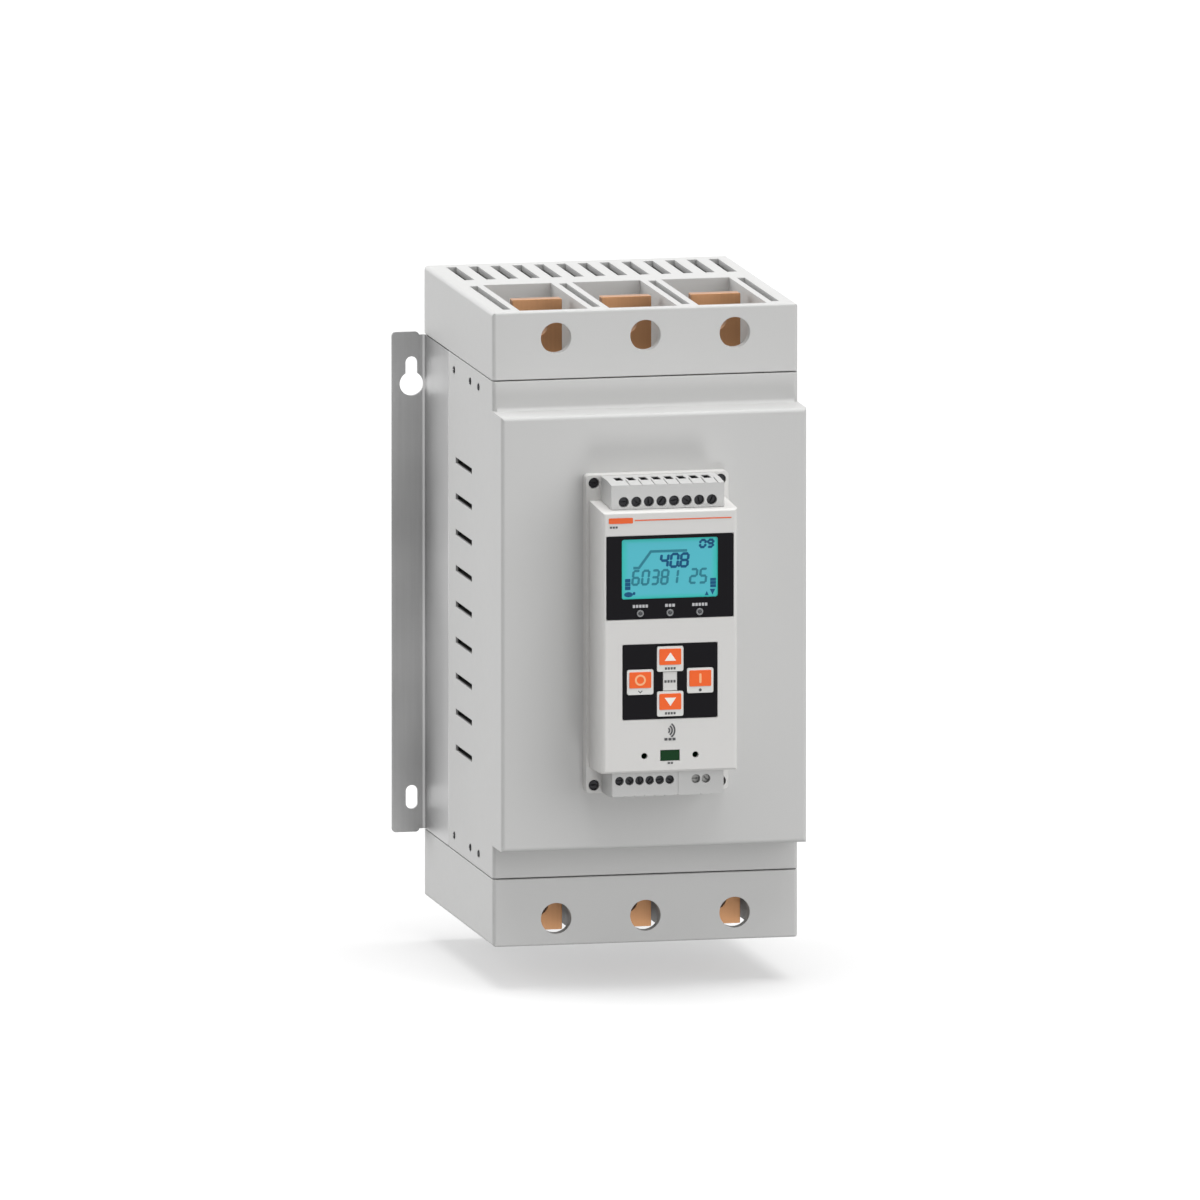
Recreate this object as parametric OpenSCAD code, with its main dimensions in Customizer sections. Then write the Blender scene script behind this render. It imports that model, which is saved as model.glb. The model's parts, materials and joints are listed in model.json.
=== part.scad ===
// Soft starter: a wall-mounted motor controller with its control unit on the front.
// +X is to the right, +Y points into the wall and +Z is up; the origin is under the middle of the whole part.
// A depth d is measured forward from the wall plane, so that a point at depth d lies at y = wall_y - d.

/* [Housing] */
// Width over the housing sides
body_w = 154.5; // [152:0.5:180]
// Overall height
body_h = 317.4; // [306:0.2:340]
// Wall plane to the front of the terminal covers
body_d = 162.3; // [158:0.1:175]
// How far the raised panel stands in front of the terminal covers
panel_proud = 20.7; // [15:0.1:30]
// Height of the set-back ledge between the lower seam and the raised panel
ledge_h = 16.3; // [12:0.1:22]
// Height of the set-back ledge between the raised panel and the upper seam
upper_ledge_h = 14.9; // [12:0.1:22]
// Open joint between a terminal cover and the main cover
seam_gap = 0.6; // [0.3:0.1:1]
// Moulded wall thickness
wall_t = 3; // [2.2:0.1:3.4]
// Rounding of the outer edges
edge_r = 2; // [1:0.1:2.8]
// Rounding of the terminal covers' front rims
rim_r = 1; // [0.5:0.1:2]
// Hollow rounding where the raised panel meets its ledges
root_r = 2; // [1:0.1:3]
// Clearance between pieces that slip together
slip = 0.3; // [0.15:0.05:0.5]

/* [Side vents] */
// Vent slots in each side
side_vents = 9; // [5:1:9]
// Distance between vent slots
side_vent_pitch = 18.03; // [12:0.01:19]
// Height of a vent slot
side_vent_h = 3; // [2:0.1:5]
// Length of a vent slot
side_vent_l = 38.5; // [20:0.1:60]
// Depth at which the vent slots start
side_vent_d = 74.5; // [66:0.1:90]

/* [Side brackets] */
// Sheet thickness
sheet_t = 1.5; // [1:0.1:2.5]
// Wall plane to the front of the inward lip
bracket_d = 58.5; // [55:0.1:64]
// Width of the flange beside the housing
flange_w = 16.95; // [15:0.05:25]
// How far the flange runs past the main cover at each end
flange_over = 1.6; // [0:0.1:5]
// Width of the inward lip
lip_w = 10; // [7:0.1:12]
// Inner radius of the folds
fold_r = 1.5; // [1:0.1:3]
// Flange edge to the middle of its holes
hole_inset = 10; // [8:0.1:12]
// Radius of the keyhole's head opening
keyhole_r = 6; // [5:0.1:6.5]
// Width of the keyhole's neck and of the lower slot
slot_w = 6; // [5:0.1:7]
// Rise from the keyhole's head to the end of its neck
keyhole_rise = 13.7; // [11:0.1:18]
// Flange top to the middle of the keyhole's head
keyhole_drop = 26.1; // [20:0.1:40]
// Flange bottom to the middle of the lower slot
low_slot_rise = 17.6; // [12:0.1:40]
// Length of the lower slot
low_slot_l = 12; // [8:0.1:18]

/* [Heat sink and fans] */
// Thickness of the heat sink's base
sink_base_t = 10; // [8:0.5:14]
// Fin thickness
fin_t = 2; // [1.2:0.1:3]
// Distance between fins
fin_pitch = 8; // [6:0.1:10]
// Wall plane to the fin tips
fin_tip_d = 3; // [1:0.1:8]
// Side of a fan frame
fan_size = 50; // [44:0.5:52]
// Height of a fan
fan_h = 20; // [15:0.5:24]
// Wall of a fan frame at its thinnest
fan_wall = 1.5; // [1:0.1:3]
// Blades on a rotor
fan_blades = 7; // [5:1:9]
// Hub radius of a rotor
fan_hub_r = 11; // [8:0.5:14]
// Slope of a rotor blade
blade_slope = 38; // [25:1:50]

/* [Terminal covers] */
// Height of a terminal cover
cover_h = 33.8; // [28:0.1:40]
// Distance between phases
phase_pitch = 45.2; // [43:0.1:46]
// Width of a cable compartment
bay_w = 34.5; // [30:0.1:37]
// Depth at which the compartments start
bay_d = 70; // [67:0.5:80]
// Front wall of a compartment
bay_front_t = 5; // [3:0.1:8]
// Width of a slot for a phase barrier
barrier_w = 4; // [3:0.1:5]
// Thickness left in front of a barrier slot
barrier_front = 10; // [6:0.5:20]
// Radius of an access hole
access_r = 7.7; // [6.5:0.1:9]
// Vent slots in the deck of a cover
deck_vents = 13; // [7:1:13]
// Distance between deck vents
deck_vent_pitch = 11.11; // [8:0.01:11.4]
// How far the row of deck vents sits to the right
deck_vent_x = 1.3; // [0:0.1:2]
// Width of a deck vent
deck_vent_w = 5; // [2:0.1:6]
// Depth at which the deck vents start
deck_vent_d = 7.8; // [6:0.1:20]
// Length of a deck vent
deck_vent_l = 44.2; // [20:0.1:46]
// Reach of the side skirts into the main cover
skirt_l = 15; // [11:0.1:20]
// Thickness of a side skirt
skirt_t = 2.8; // [2:0.1:3.5]
// Seam to the row of side screws
side_screw_in = 7.4; // [5:0.1:9]

/* [Power path] */
// Width of a bus bar
bar_w = 25; // [20:0.5:30]
// Thickness of a bus bar
bar_t = 6; // [4:0.1:8]
// Depth of a bus bar's front face at its terminal
bar_d = 118; // [112:0.1:124]
// Cover edge to the end of a bus bar
bar_end = 0.6; // [0.2:0.1:6]
// Cover edge to the middle of the bolt hole
bolt_in = 13.5; // [12:0.1:18]
// Radius of a terminal bolt hole
bolt_r = 5.5; // [4:0.1:6.5]
// Inner radius of a bus bar's bends
bar_fold_r = 5; // [3:0.1:8]
// Width of a thyristor module
module_w = 34; // [28:0.5:36]
// Length of a thyristor module
module_l = 94; // [88:0.5:110]
// Height of a thyristor module
module_h = 30; // [25:0.5:34]
// Middle of a module to its power terminals
module_post = 24; // [20:0.5:28]
// Width of a bypass relay
relay_w = 36; // [28:0.5:38]
// Length of a bypass relay
relay_l = 92; // [84:0.5:100]
// Depth of a bypass relay in front of its bars
relay_h = 44; // [36:0.5:46]
// Width of a current transformer
ct_w = 38; // [34:0.5:42]
// Depth of a current transformer
ct_depth = 30; // [20:0.5:34]
// Height of a current transformer
ct_h = 18; // [12:0.5:22]

/* [Control unit] */
// Width of the base
base_w = 72; // [70:0.1:80]
// Height of the base
base_h = 159; // [156:0.1:175]
// Thickness of the base
base_t = 7; // [6:0.1:10]
// Height of the control unit's middle above the housing's middle
unit_lift = 0.9; // [-10:0.1:10]
// Width of the front case
case_w = 68.5; // [67:0.1:76]
// Height of the front case at its face
case_h = 130.6; // [128:0.1:140]
// Depth of the front case
case_d = 29.5; // [27:0.1:36]
// Draft of the case's top and bottom over its depth
case_draft = 1.5; // [0.2:0.1:2]
// Wall of the front case
case_wall = 2.2; // [1.8:0.1:2.6]
// Sunk seat of the bezels
bezel_sink = 0.6; // [0.3:0.1:1]
// Thickness of the bezels
bezel_t = 0.75; // [0.5:0.05:1.2]
// Side of the base's edge to its fixing screws
base_screw_in = 4; // [3.6:0.1:6]

/* [Display and keypad] */
// Width of the display bezel
display_w = 64; // [58:0.1:66]
// Height of the display bezel
display_h = 41.5; // [40:0.1:46]
// Middle of the display bezel above the unit's middle
display_z = 32.3; // [30:0.1:36]
// Width of the display panel
lcd_w = 49.2; // [40:0.1:52]
// Height of the display panel
lcd_h = 30.5; // [24:0.1:31]
// Bezel top to the panel top
lcd_top = 1.3; // [1:0.1:2]
// Distance between status lamps
lamp_pitch = 15; // [8:0.1:20]
// Radius of a status lamp
lamp_r = 1.7; // [1:0.1:2.2]
// Bezel bottom to the lamps
lamp_rise = 2.8; // [2.4:0.1:4]
// Width of the keypad bezel
keypad_w = 47.7; // [46:0.1:52]
// Height of the keypad bezel
keypad_h = 37.3; // [36.4:0.1:42]
// Middle of the keypad below the unit's middle
keypad_drop = 19.9; // [18:0.1:22]
// Width of a key
key_w = 13.3; // [11:0.1:13.6]
// Height of a key
key_h = 12.5; // [10:0.1:12.8]
// Middle of the keypad to the side keys
key_reach_x = 15.15; // [15:0.01:16]
// Middle of the keypad to the upper and lower key
key_reach_z = 11.2; // [11:0.1:11.6]
// How far the face of a key stands proud of the case
key_proud = 0.7; // [0.4:0.1:1.5]
// Height of the raised pad on a key
pad_proud = 0.3; // [0.1:0.1:0.6]
// Travel of a key
key_travel = 0.8; // [0.4:0.1:1]
// Clearance round a key
key_gap = 0.2; // [0.15:0.05:0.3]
// Width of the bridge between the upper and lower key
bridge_w = 7; // [4:0.1:9]
// Width of the port window
port_w = 9.4; // [6:0.1:12]
// Height of the port window
port_h = 5.1; // [3:0.1:7]
// Middle of the port window below the unit's middle
port_drop = 57; // [55:0.1:58]
// Middle of the port to its locating holes
dongle_x = 12.9; // [10:0.1:20]
// Radius of a locating hole
dongle_r = 1.55; // [1:0.05:2]

/* [Control terminals] */
// Height of a terminal block
block_h = 11.9; // [11:0.1:12.4]
// Wall plane side of a block to its front
block_d = 24.5; // [22:0.1:27]
// Width of the upper block
upper_block_w = 57; // [55:0.1:58]
// Poles of the upper block
upper_poles = 8; // [4:1:8]
// Pole distance of the upper block
upper_pitch = 6.35; // [5:0.01:6.5]
// Left end of the lower block
lower_block_x = -28.1; // [-29:0.1:-26]
// Poles of the lower block
lower_poles = 6; // [3:1:6]
// Pole distance of the lower blocks
lower_pitch = 5.08; // [4:0.01:5.1]
// Width of the lower block
lower_block_w = 32.8; // [32:0.1:33.2]
// Width of the small lower block
aux_block_w = 22.9; // [16:0.1:24]
// Poles of the small lower block
aux_poles = 2; // [1:1:3]
// Radius of a screw well in the upper block
upper_well_r = 2.6; // [1.5:0.05:2.7]
// Radius of a screw well in a lower block
lower_well_r = 2.2; // [1.5:0.1:2.3]

/* [Hidden] */
$fn = 48;
// A cut reaches this far past the face that it opens
past = 1;
// Fold facets for a quarter turn
fold_steps = 6;
overall_d = body_d + panel_proud + base_t + case_d + key_proud + pad_proud;
wall_y = overall_d / 2;
mid_z = body_h / 2;
half_w = body_w / 2;
panel_d = body_d + panel_proud;
main_z = cover_h + seam_gap;
panel_z = main_z + ledge_h;
panel_top = body_h - main_z - upper_ledge_h;
flange_x = half_w + flange_w;
flange_z = main_z - flange_over;
sink_d = bracket_d - sheet_t;
side_screw_depths = [71, 109.4, 129.2];
side_screw_r = 1.2;
side_head_r = 1.7;
side_head_h = 1.2;
seam_r = 0.4;
skirt_past = 7;
skirt_ends = [side_screw_depths[0] - skirt_past, side_screw_depths[2] + skirt_past];

fan_gap = 1;
fan_d = sink_d - fan_size / 2 - fan_gap;
fan_bore_r = fan_size / 2 - fan_wall;
fan_hole_in = 5;
fan_corner_r = 3;
fan_screw_r = 1.5;
fan_head_r = 2.7;
fan_head_h = 2;
fan_arm_h = 3;
fan_arm_w = 3;
fan_arm_angles = [30, 150, 270];
fan_post_r = 4;
fan_shaft_r = 1.5;
shaft_gap = 0.05;
rotor_gap = 0.8;
blade_t = 1.2;
blade_root = 1;
blade_over = 1.2;
sink_gap = 0.6;
sink_z = main_z + sink_gap;

chamber_d = 62;
chamber_back_t = 2.5;
duct_wall = wall_t;
fan_x = (half_w - duct_wall) / 2;
barrier_back = 2.5;

module_base_t = 4;
module_step = 11;
module_side = 1;
module_drop = 4;
module_head_gap = 1;
module_head_h = 4;
bar_in_d = sink_d + module_h;
bar_slope_in = 16;
bar_slope_z = body_h - cover_h - bar_slope_in;
bar_step = bar_d - bar_t - bar_in_d;
bar_corner_r = 0.6;
bar_tail = 10;
// Where the last bend of a line bar ends
bar_low_z = bar_slope_z - bar_step - (bar_fold_r + bar_t / 2) * tan(45 / 2);
post_screw_r = 3;
relay_foot = 6;
relay_foot_l = 12;
// A transformer sits midway between the bend of its load bar and the relay
ct_mid_z = (body_h - bar_low_z + mid_z - relay_l / 2) / 2;
ct_corner_r = 4;
board_t = 1.6;
board_gap = 6;
driver_d = bar_in_d + bar_t + relay_h + board_gap;
driver_side = 11;
driver_over = 24;
driver_w = body_w - 2 * driver_side;
driver_h = relay_l + 2 * driver_over;
standoff_r = 3.5;
standoff_in = 2.5;
standoff_z = relay_l / 2 - standoff_in;
header_h = 6;
header_sink = 0.5;
header_w = 26;
ribbon_w = 20;
ribbon_t = 1.2;
ribbon_fold_r = 3;
ribbon_drop = 26;

unit_z = mid_z + unit_lift;
base_d = panel_d + base_t;
face_d = base_d + case_d;
base_floor = 3;
base_screw_r = 1.6;
base_head_r = 2.4;
base_well_r = 2.7;
base_head_h = 2.2;
board_post_r = 2.5;
control_back = 14.5;
control_side = 1;
control_end = 2;
control_d = face_d - control_back;
control_w = case_w - 2 * (case_wall + control_side);
control_h = case_h - 2 * (case_wall + control_end);
seat_d = face_d - bezel_sink;
inner_d = face_d - case_wall;
lcd_z = unit_z + display_z + display_h / 2 - lcd_top - lcd_h;
lamp_z = unit_z + display_z - display_h / 2 + lamp_rise;
lamp_tip_r = lamp_r / 2;
lamp_tip_h = lamp_r / 6;
bezel_r = 0.8;
lcd_r = 1.2;
keypad_z = unit_z - keypad_drop;
key_flange_t = 1.2;
key_flange_x = 0.45;
key_flange_z = 1;
key_keep = 0.15;
key_r = 1;
pad_side = 1.15;
pad_short = 4.5;
pad_w = key_w - 2 * pad_side;
pad_h = key_h - pad_short;
pad_lift = 1.1;
dome_r = 4;
dome_tip_r = 2.8;
mat_r = 2;
dome_gap = 0.25;
mat_t = 1.2;
port_z = unit_z - port_drop;
port_flange = 1;
port_sink = 0.2;
block_gap = 0.2;
block_split = 0.6;
block_z = unit_z + case_h / 2 + case_draft + block_gap;
upper_well_rise = 2.35;
lower_well_rise = 2.95;
// The blocks follow the slope of the case beside them
block_slope = case_draft / (case_d - edge_r / 2);
aux_block_x = lower_block_x + lower_block_w + block_split;
ribbon_window_h = 14;
ribbon_room = 4;
header_z = 8;
module_pad_l = 18;
entry_l = 8;
entry_share = 0.6;
entry_run = 9;
entry_shift = 1.5;
groove_w = 0.5;
groove_h = 1.4;
groove_run = 11;
block_fall = 1.1;
well_l = 7;
block_screw_l = 3;
block_head_h = 1.6;

lip_screw_in = 3.4;
bracket_screw_r = 1.6;
bracket_head_r = 2.8;
bracket_head_h = 2;
bracket_screw_l = 8;
bracket_screw_in = 20;
bracket_screw_room = 8;
bracket_screw_reach = module_l / 2 + bracket_screw_room;
bracket_screw_heights = [main_z + bracket_screw_in, mid_z - bracket_screw_reach, mid_z + bracket_screw_reach,
    body_h - main_z - bracket_screw_in];
module_screw_r = 2.5;
module_screw_l = 8;
module_hole = module_l / 2 - module_step / 2;
standoff_x = [-phase_pitch / 2, phase_pitch / 2];
standoff_stud_r = 1.8;
standoff_stud_l = 6;
fan_screw_d = fan_d + fan_size / 2 - fan_hole_in;
fan_screw_l = 10;
base_screw_x = about(0, base_w / 2 - base_screw_in);
base_screw_heights = about(unit_z, base_h / 2 - base_screw_in);
base_boss_r = 4;
base_boss_l = 11;
post_screw_l = 12;
post_head_r = 5;
post_head_h = 4;
board_screw_r = 1.5;
board_screw_l = 8;
board_head_r = 2.8;
board_head_h = 2;
board_post_in = 4;
board_post_x = about(0, control_w / 2 - board_post_in);
board_post_heights = about(unit_z, control_h / 2 - board_post_in);
// Where the four keys sit about the keypad's middle
key_places = [[0, key_reach_z], [0, -key_reach_z], [-key_reach_x, 0], [key_reach_x, 0]];

function about(middle, half) = [middle - half, middle + half];
function phase_x(i) = (i - 2) * phase_pitch;
function unit(v) = v / norm(v);
function left_of(v) = [-v.y, v.x];
function reversed(list) = [for (i = [len(list) - 1:-1:0]) list[i]];

// One side of a strip that follows a path: off is its distance to the left, r the middle radius of its folds
function strip_side(path, r, off) = [
    for (i = [0:len(path) - 1])
        let (
            u = unit(path[max(i, 1)] - path[max(i, 1) - 1]),
            v = unit(path[min(i, len(path) - 2) + 1] - path[min(i, len(path) - 2)]),
            turn = acos(min(1, u * v)),
            way = sign(u.x * v.y - u.y * v.x),
            fold = i > 0 && i < len(path) - 1,
            middle = fold ? path[i] + unit(v - u) * r / cos(turn / 2) : path[i],
            start = atan2(-way * u.x, way * u.y)
        )
        each (fold
            ? [for (k = [0:fold_steps])
                middle + (r - way * off) * [cos(start + way * turn * k / fold_steps),
                    sin(start + way * turn * k / fold_steps)]]
            : [path[i] + off * left_of(u)])];

// Outline of a strip of thickness t along a path, with every corner folded to the inner radius fold
function strip(path, t, fold) =
    concat(strip_side(path, fold + t / 2, t / 2), reversed(strip_side(path, fold + t / 2, -t / 2)));

// Puts what is modelled from the wall plane into the part's frame
module placed() {
    translate([0, wall_y, 0])
        children();
}

// Turns what is modelled for the line end over to the load end
module at_load_end() {
    translate([0, 0, body_h])
        mirror([0, 0, 1])
            children();
}

// A block between the given limits across, in depth and in height
module slab(x, d, z) {
    translate([x[0], -d[1], z[0]])
        cube([x[1] - x[0], d[1] - d[0], z[1] - z[0]]);
}

// A round bar along the depth
module rod(r, x, z, d) {
    translate([x, -d[0], z])
        rotate([90, 0, 0])
            cylinder(r = r, h = d[1] - d[0]);
}

// A flat outline in x and z, made solid over a range of depths
module front_extrude(d) {
    translate([0, -d[0], 0])
        rotate([90, 0, 0])
            linear_extrude(d[1] - d[0])
                children();
}

// A flat outline in y and z, made solid over a range across
module side_extrude(x) {
    translate([x[0], 0, 0])
        rotate([90, 0, 90])
            linear_extrude(x[1] - x[0])
                children();
}

// A rectangle about its middle with round corners
module round_rect(w, h, r) {
    square([w - 2 * r, h], center = true);
    square([w, h - 2 * r], center = true);
    for (x = [-1, 1], y = [-1, 1])
        translate([x * (w / 2 - r), y * (h / 2 - r)])
            circle(r);
}

// A hole about its middle with round ends above and below
module long_hole(w, l) {
    square([w, l - w], center = true);
    for (end = [-1, 1])
        translate([0, end * (l - w) / 2])
            circle(w / 2);
}

// What rounding takes off the corner of a square that has its corner at the origin and runs to +x and +y
module corner_waste(r) {
    difference() {
        translate([-past, -past])
            square([r + past, r + past]);
        translate([r, r])
            circle(r);
    }
}

// A block with all front edges round, and the top edges too where top_r is given
module shell_block(w, d, z, front_lo_r, front_hi_r, top_r = 0) {
    intersection() {
        translate([0, 0, z[0]])
            linear_extrude(z[1] - z[0])
                difference() {
                    translate([-w / 2, -d[1]])
                        square([w, d[1] - d[0]]);
                    for (side = [0, 1])
                        mirror([side, 0])
                            translate([-w / 2, -d[1]])
                                corner_waste(edge_r);
                }
        side_extrude([-w / 2 - past, w / 2 + past])
            difference() {
                translate([-d[1], z[0]])
                    square([d[1] - d[0], z[1] - z[0]]);
                if (front_lo_r > 0)
                    translate([-d[1], z[0]])
                        corner_waste(front_lo_r);
                if (front_hi_r > 0)
                    translate([-d[1], z[1]])
                        mirror([0, 1])
                            corner_waste(front_hi_r);
            }
        if (top_r > 0)
            front_extrude([d[0] - past, d[1] + past])
                difference() {
                    translate([-w / 2, z[0] - past])
                        square([w, z[1] - z[0] + past]);
                    for (side = [0, 1])
                        mirror([side, 0])
                            translate([-w / 2, z[1]])
                                mirror([0, 1])
                                    corner_waste(top_r);
                }
    }
}

// A screw with its head's seat at the origin, its head up and its shank down
module screw(head_r, head_h, shank_r, shank_l) {
    difference() {
        cylinder(r = head_r, h = head_h);
        translate([0, 0, head_h / 2])
            cylinder(r = head_r / 2, h = head_h, $fn = 6);
    }
    translate([0, 0, -shank_l])
        cylinder(r = shank_r, h = shank_l);
}

// A screw whose head looks to the front
module front_screw(x, d, z, head_r, head_h, shank_r, shank_l) {
    translate([x, -d, z])
        rotate([90, 0, 0])
            screw(head_r, head_h, shank_r, shank_l);
}

// Middles of the side screws, as depth and height, at both ends
module at_side_screws(side) {
    for (d = side_screw_depths, z = [main_z + side_screw_in, body_h - main_z - side_screw_in])
        translate([side * half_w, -d, z])
            rotate([0, side * 90, 0])
                children();
}

module keyhole() {
    top_z = body_h - flange_z - keyhole_drop;
    translate([flange_x - hole_inset, top_z])
        circle(keyhole_r);
    translate([flange_x - hole_inset, top_z + (keyhole_rise - slot_w / 2) / 2])
        long_hole(slot_w, keyhole_rise + slot_w / 2);
}

module side_bracket() {
    side_x = half_w - sheet_t / 2;
    lip_d = bracket_d - sheet_t / 2;
    flange_in = half_w + fold_r + sheet_t;
    path = [[flange_x - edge_r, -sheet_t / 2], [side_x, -sheet_t / 2], [side_x, -lip_d],
        [half_w - lip_w, -lip_d]];
    color("darkgray")
        placed()
            difference() {
                union() {
                    translate([0, 0, main_z])
                        linear_extrude(body_h - 2 * main_z)
                            polygon(strip(path, sheet_t, fold_r));
                    front_extrude([0, sheet_t])
                        translate([(flange_in + flange_x) / 2, mid_z])
                            round_rect(flange_x - flange_in, body_h - 2 * flange_z, edge_r);
                }
                front_extrude([-past, sheet_t + past])
                    keyhole();
                front_extrude([-past, sheet_t + past])
                    translate([flange_x - hole_inset, flange_z + low_slot_rise])
                        long_hole(slot_w, low_slot_l);
                for (z = bracket_screw_heights)
                    rod(bracket_screw_r, half_w - lip_w + lip_screw_in, z, [sink_d - past, bracket_d + past]);
            }
}

module side_bracket_left() {
    mirror([1, 0, 0])
        side_bracket();
}

module side_bracket_right() {
    side_bracket();
}

// Base, evenly spaced fins, and a fin along each bracket
module heat_sink() {
    sink_x = half_w - sheet_t - slip;
    fin_top_d = sink_d - sink_base_t / 2;
    fins = floor((sink_x - 2 * fin_t - fin_pitch / 2) / fin_pitch);
    color("silver")
        placed()
            difference() {
                translate([0, 0, sink_z])
                    linear_extrude(body_h - 2 * sink_z) {
                        difference() {
                            translate([-sink_x, -sink_d])
                                square([2 * sink_x, sink_base_t]);
                            for (side = [0, 1])
                                mirror([side, 0])
                                    translate([-sink_x, -sink_d])
                                        corner_waste(fold_r);
                        }
                        for (i = [0:fins], side = [-1, 1])
                            translate([side * (i + 0.5) * fin_pitch - fin_t / 2, -fin_top_d])
                                square([fin_t, fin_top_d - fin_tip_d]);
                        for (side = [-1, 1])
                            translate([side * (sink_x - slip - fin_t / 2) - fin_t / 2, -fin_top_d])
                                square([fin_t, fin_top_d - fin_tip_d - 2 * fold_r]);
                    }
                for (side = [-1, 1], z = bracket_screw_heights)
                    rod(bracket_screw_r, side * (half_w - lip_w + lip_screw_in), z,
                        [bracket_d - bracket_screw_l - past, sink_d + past]);
                for (i = [1:3], end = [-1, 1])
                    rod(module_screw_r, phase_x(i), mid_z + end * module_hole,
                        [sink_d - module_screw_l, sink_d + past]);
                for (x = standoff_x, z = [mid_z - standoff_z, mid_z + standoff_z])
                    rod(standoff_stud_r, x, z, [sink_d - standoff_stud_l, sink_d + past]);
                for (side = [-1, 1], end = [-1, 1])
                    translate([side * fan_x + end * (fan_size / 2 - fan_hole_in), -fan_screw_d, sink_z - past])
                        cylinder(r = fan_screw_r, h = fan_screw_l + past);
            }
}

// Square frame with a round duct, three arms under it and a post for the rotor
module fan_frame(x) {
    color("dimgray")
        placed()
            translate([x, -fan_d, sink_z - fan_h])
                difference() {
                    union() {
                        linear_extrude(fan_h)
                            difference() {
                                round_rect(fan_size, fan_size, fan_corner_r);
                                circle(fan_bore_r);
                            }
                        linear_extrude(fan_arm_h)
                            intersection() {
                                circle(fan_bore_r + fan_wall / 2);
                                union() {
                                    circle(fan_hub_r);
                                    for (a = fan_arm_angles)
                                        rotate(a)
                                            translate([0, -fan_arm_w / 2])
                                                square([fan_size, fan_arm_w]);
                                }
                            }
                        cylinder(r = fan_post_r, h = fan_h - fan_arm_h);
                    }
                    translate([0, 0, fan_arm_h])
                        cylinder(r = fan_shaft_r + shaft_gap, h = fan_h);
                    for (sx = [-1, 1], sy = [-1, 1])
                        translate([sx * (fan_size / 2 - fan_hole_in), sy * (fan_size / 2 - fan_hole_in), -past])
                            cylinder(r = fan_screw_r + slip, h = fan_h + 2 * past);
                }
}

// Hub cup on its own shaft, with sloped blades
module fan_rotor(x) {
    hub_top = fan_h - rotor_gap;
    hub_low = fan_arm_h + rotor_gap;
    blade_z = (hub_top + hub_low) / 2;
    blade_run = (hub_top - hub_low) * blade_over;
    color("black")
        placed()
            translate([x, -fan_d, sink_z - fan_h]) {
                difference() {
                    translate([0, 0, hub_low])
                        cylinder(r = fan_hub_r, h = hub_top - hub_low);
                    cylinder(r = fan_post_r + rotor_gap, h = fan_h - fan_arm_h + rotor_gap);
                }
                translate([0, 0, fan_arm_h + rotor_gap])
                    cylinder(r = fan_shaft_r, h = hub_top - fan_arm_h - rotor_gap);
                intersection() {
                    difference() {
                        translate([0, 0, hub_low])
                            cylinder(r = fan_bore_r - rotor_gap, h = hub_top - hub_low);
                        cylinder(r = fan_hub_r - blade_root, h = fan_h);
                    }
                    union()
                        for (i = [0:fan_blades - 1])
                            rotate(i * 360 / fan_blades)
                                translate([fan_hub_r - blade_root, 0, blade_z])
                                    rotate([blade_slope, 0, 0])
                                        translate([0, -blade_run / 2, -blade_t / 2])
                                            cube([fan_size, blade_run, blade_t]);
                }
            }
}

// Hollow rounding along the roots of the raised panel
module panel_roots() {
    side_extrude(about(0, half_w - edge_r)) {
        translate([-body_d, panel_top])
            mirror([1, 0])
                corner_waste(root_r);
        translate([-body_d, panel_z])
            rotate(180)
                corner_waste(root_r);
    }
}

// Hood with a raised panel, open at the back and at both ends
module main_cover() {
    inner_w = body_w - 2 * wall_t;
    color("gainsboro")
        placed()
            difference() {
                union() {
                    difference() {
                        union() {
                            shell_block(body_w, [bracket_d, body_d], [main_z, body_h - main_z], seam_r, seam_r);
                            shell_block(body_w, [bracket_d, panel_d], [panel_z, panel_top], edge_r, edge_r);
                            panel_roots();
                        }
                        slab([-inner_w / 2, inner_w / 2], [bracket_d - past, body_d - wall_t],
                            [main_z - past, body_h - main_z + past]);
                        slab([-inner_w / 2, inner_w / 2], [bracket_d - past, panel_d - wall_t],
                            [panel_z + wall_t, panel_top - wall_t]);
                    }
                    for (x = base_screw_x, z = base_screw_heights)
                        rod(base_boss_r, x, z, [panel_d - base_boss_l, panel_d - wall_t / 2]);
                }
                for (i = [0:side_vents - 1], side = [-1, 1])
                    slab(about(side * half_w, wall_t + past),
                        [side_vent_d, side_vent_d + side_vent_l],
                        about(mid_z + (i - (side_vents - 1) / 2) * side_vent_pitch, side_vent_h / 2));
                for (side = [-1, 1])
                    at_side_screws(side) {
                        translate([0, 0, -wall_t - past])
                            cylinder(r = side_screw_r + slip, h = wall_t + 2 * past);
                        translate([0, 0, -side_head_h])
                            cylinder(r = side_head_r + slip, h = side_head_h + past);
                    }
                for (x = base_screw_x, z = base_screw_heights)
                    rod(base_screw_r, x, z, [panel_d - base_boss_l - past, panel_d + past]);
                slab(about(0, ribbon_w / 2 + ribbon_room), [panel_d - wall_t - past, panel_d + past],
                    about(unit_z, ribbon_window_h / 2));
            }
}

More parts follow.
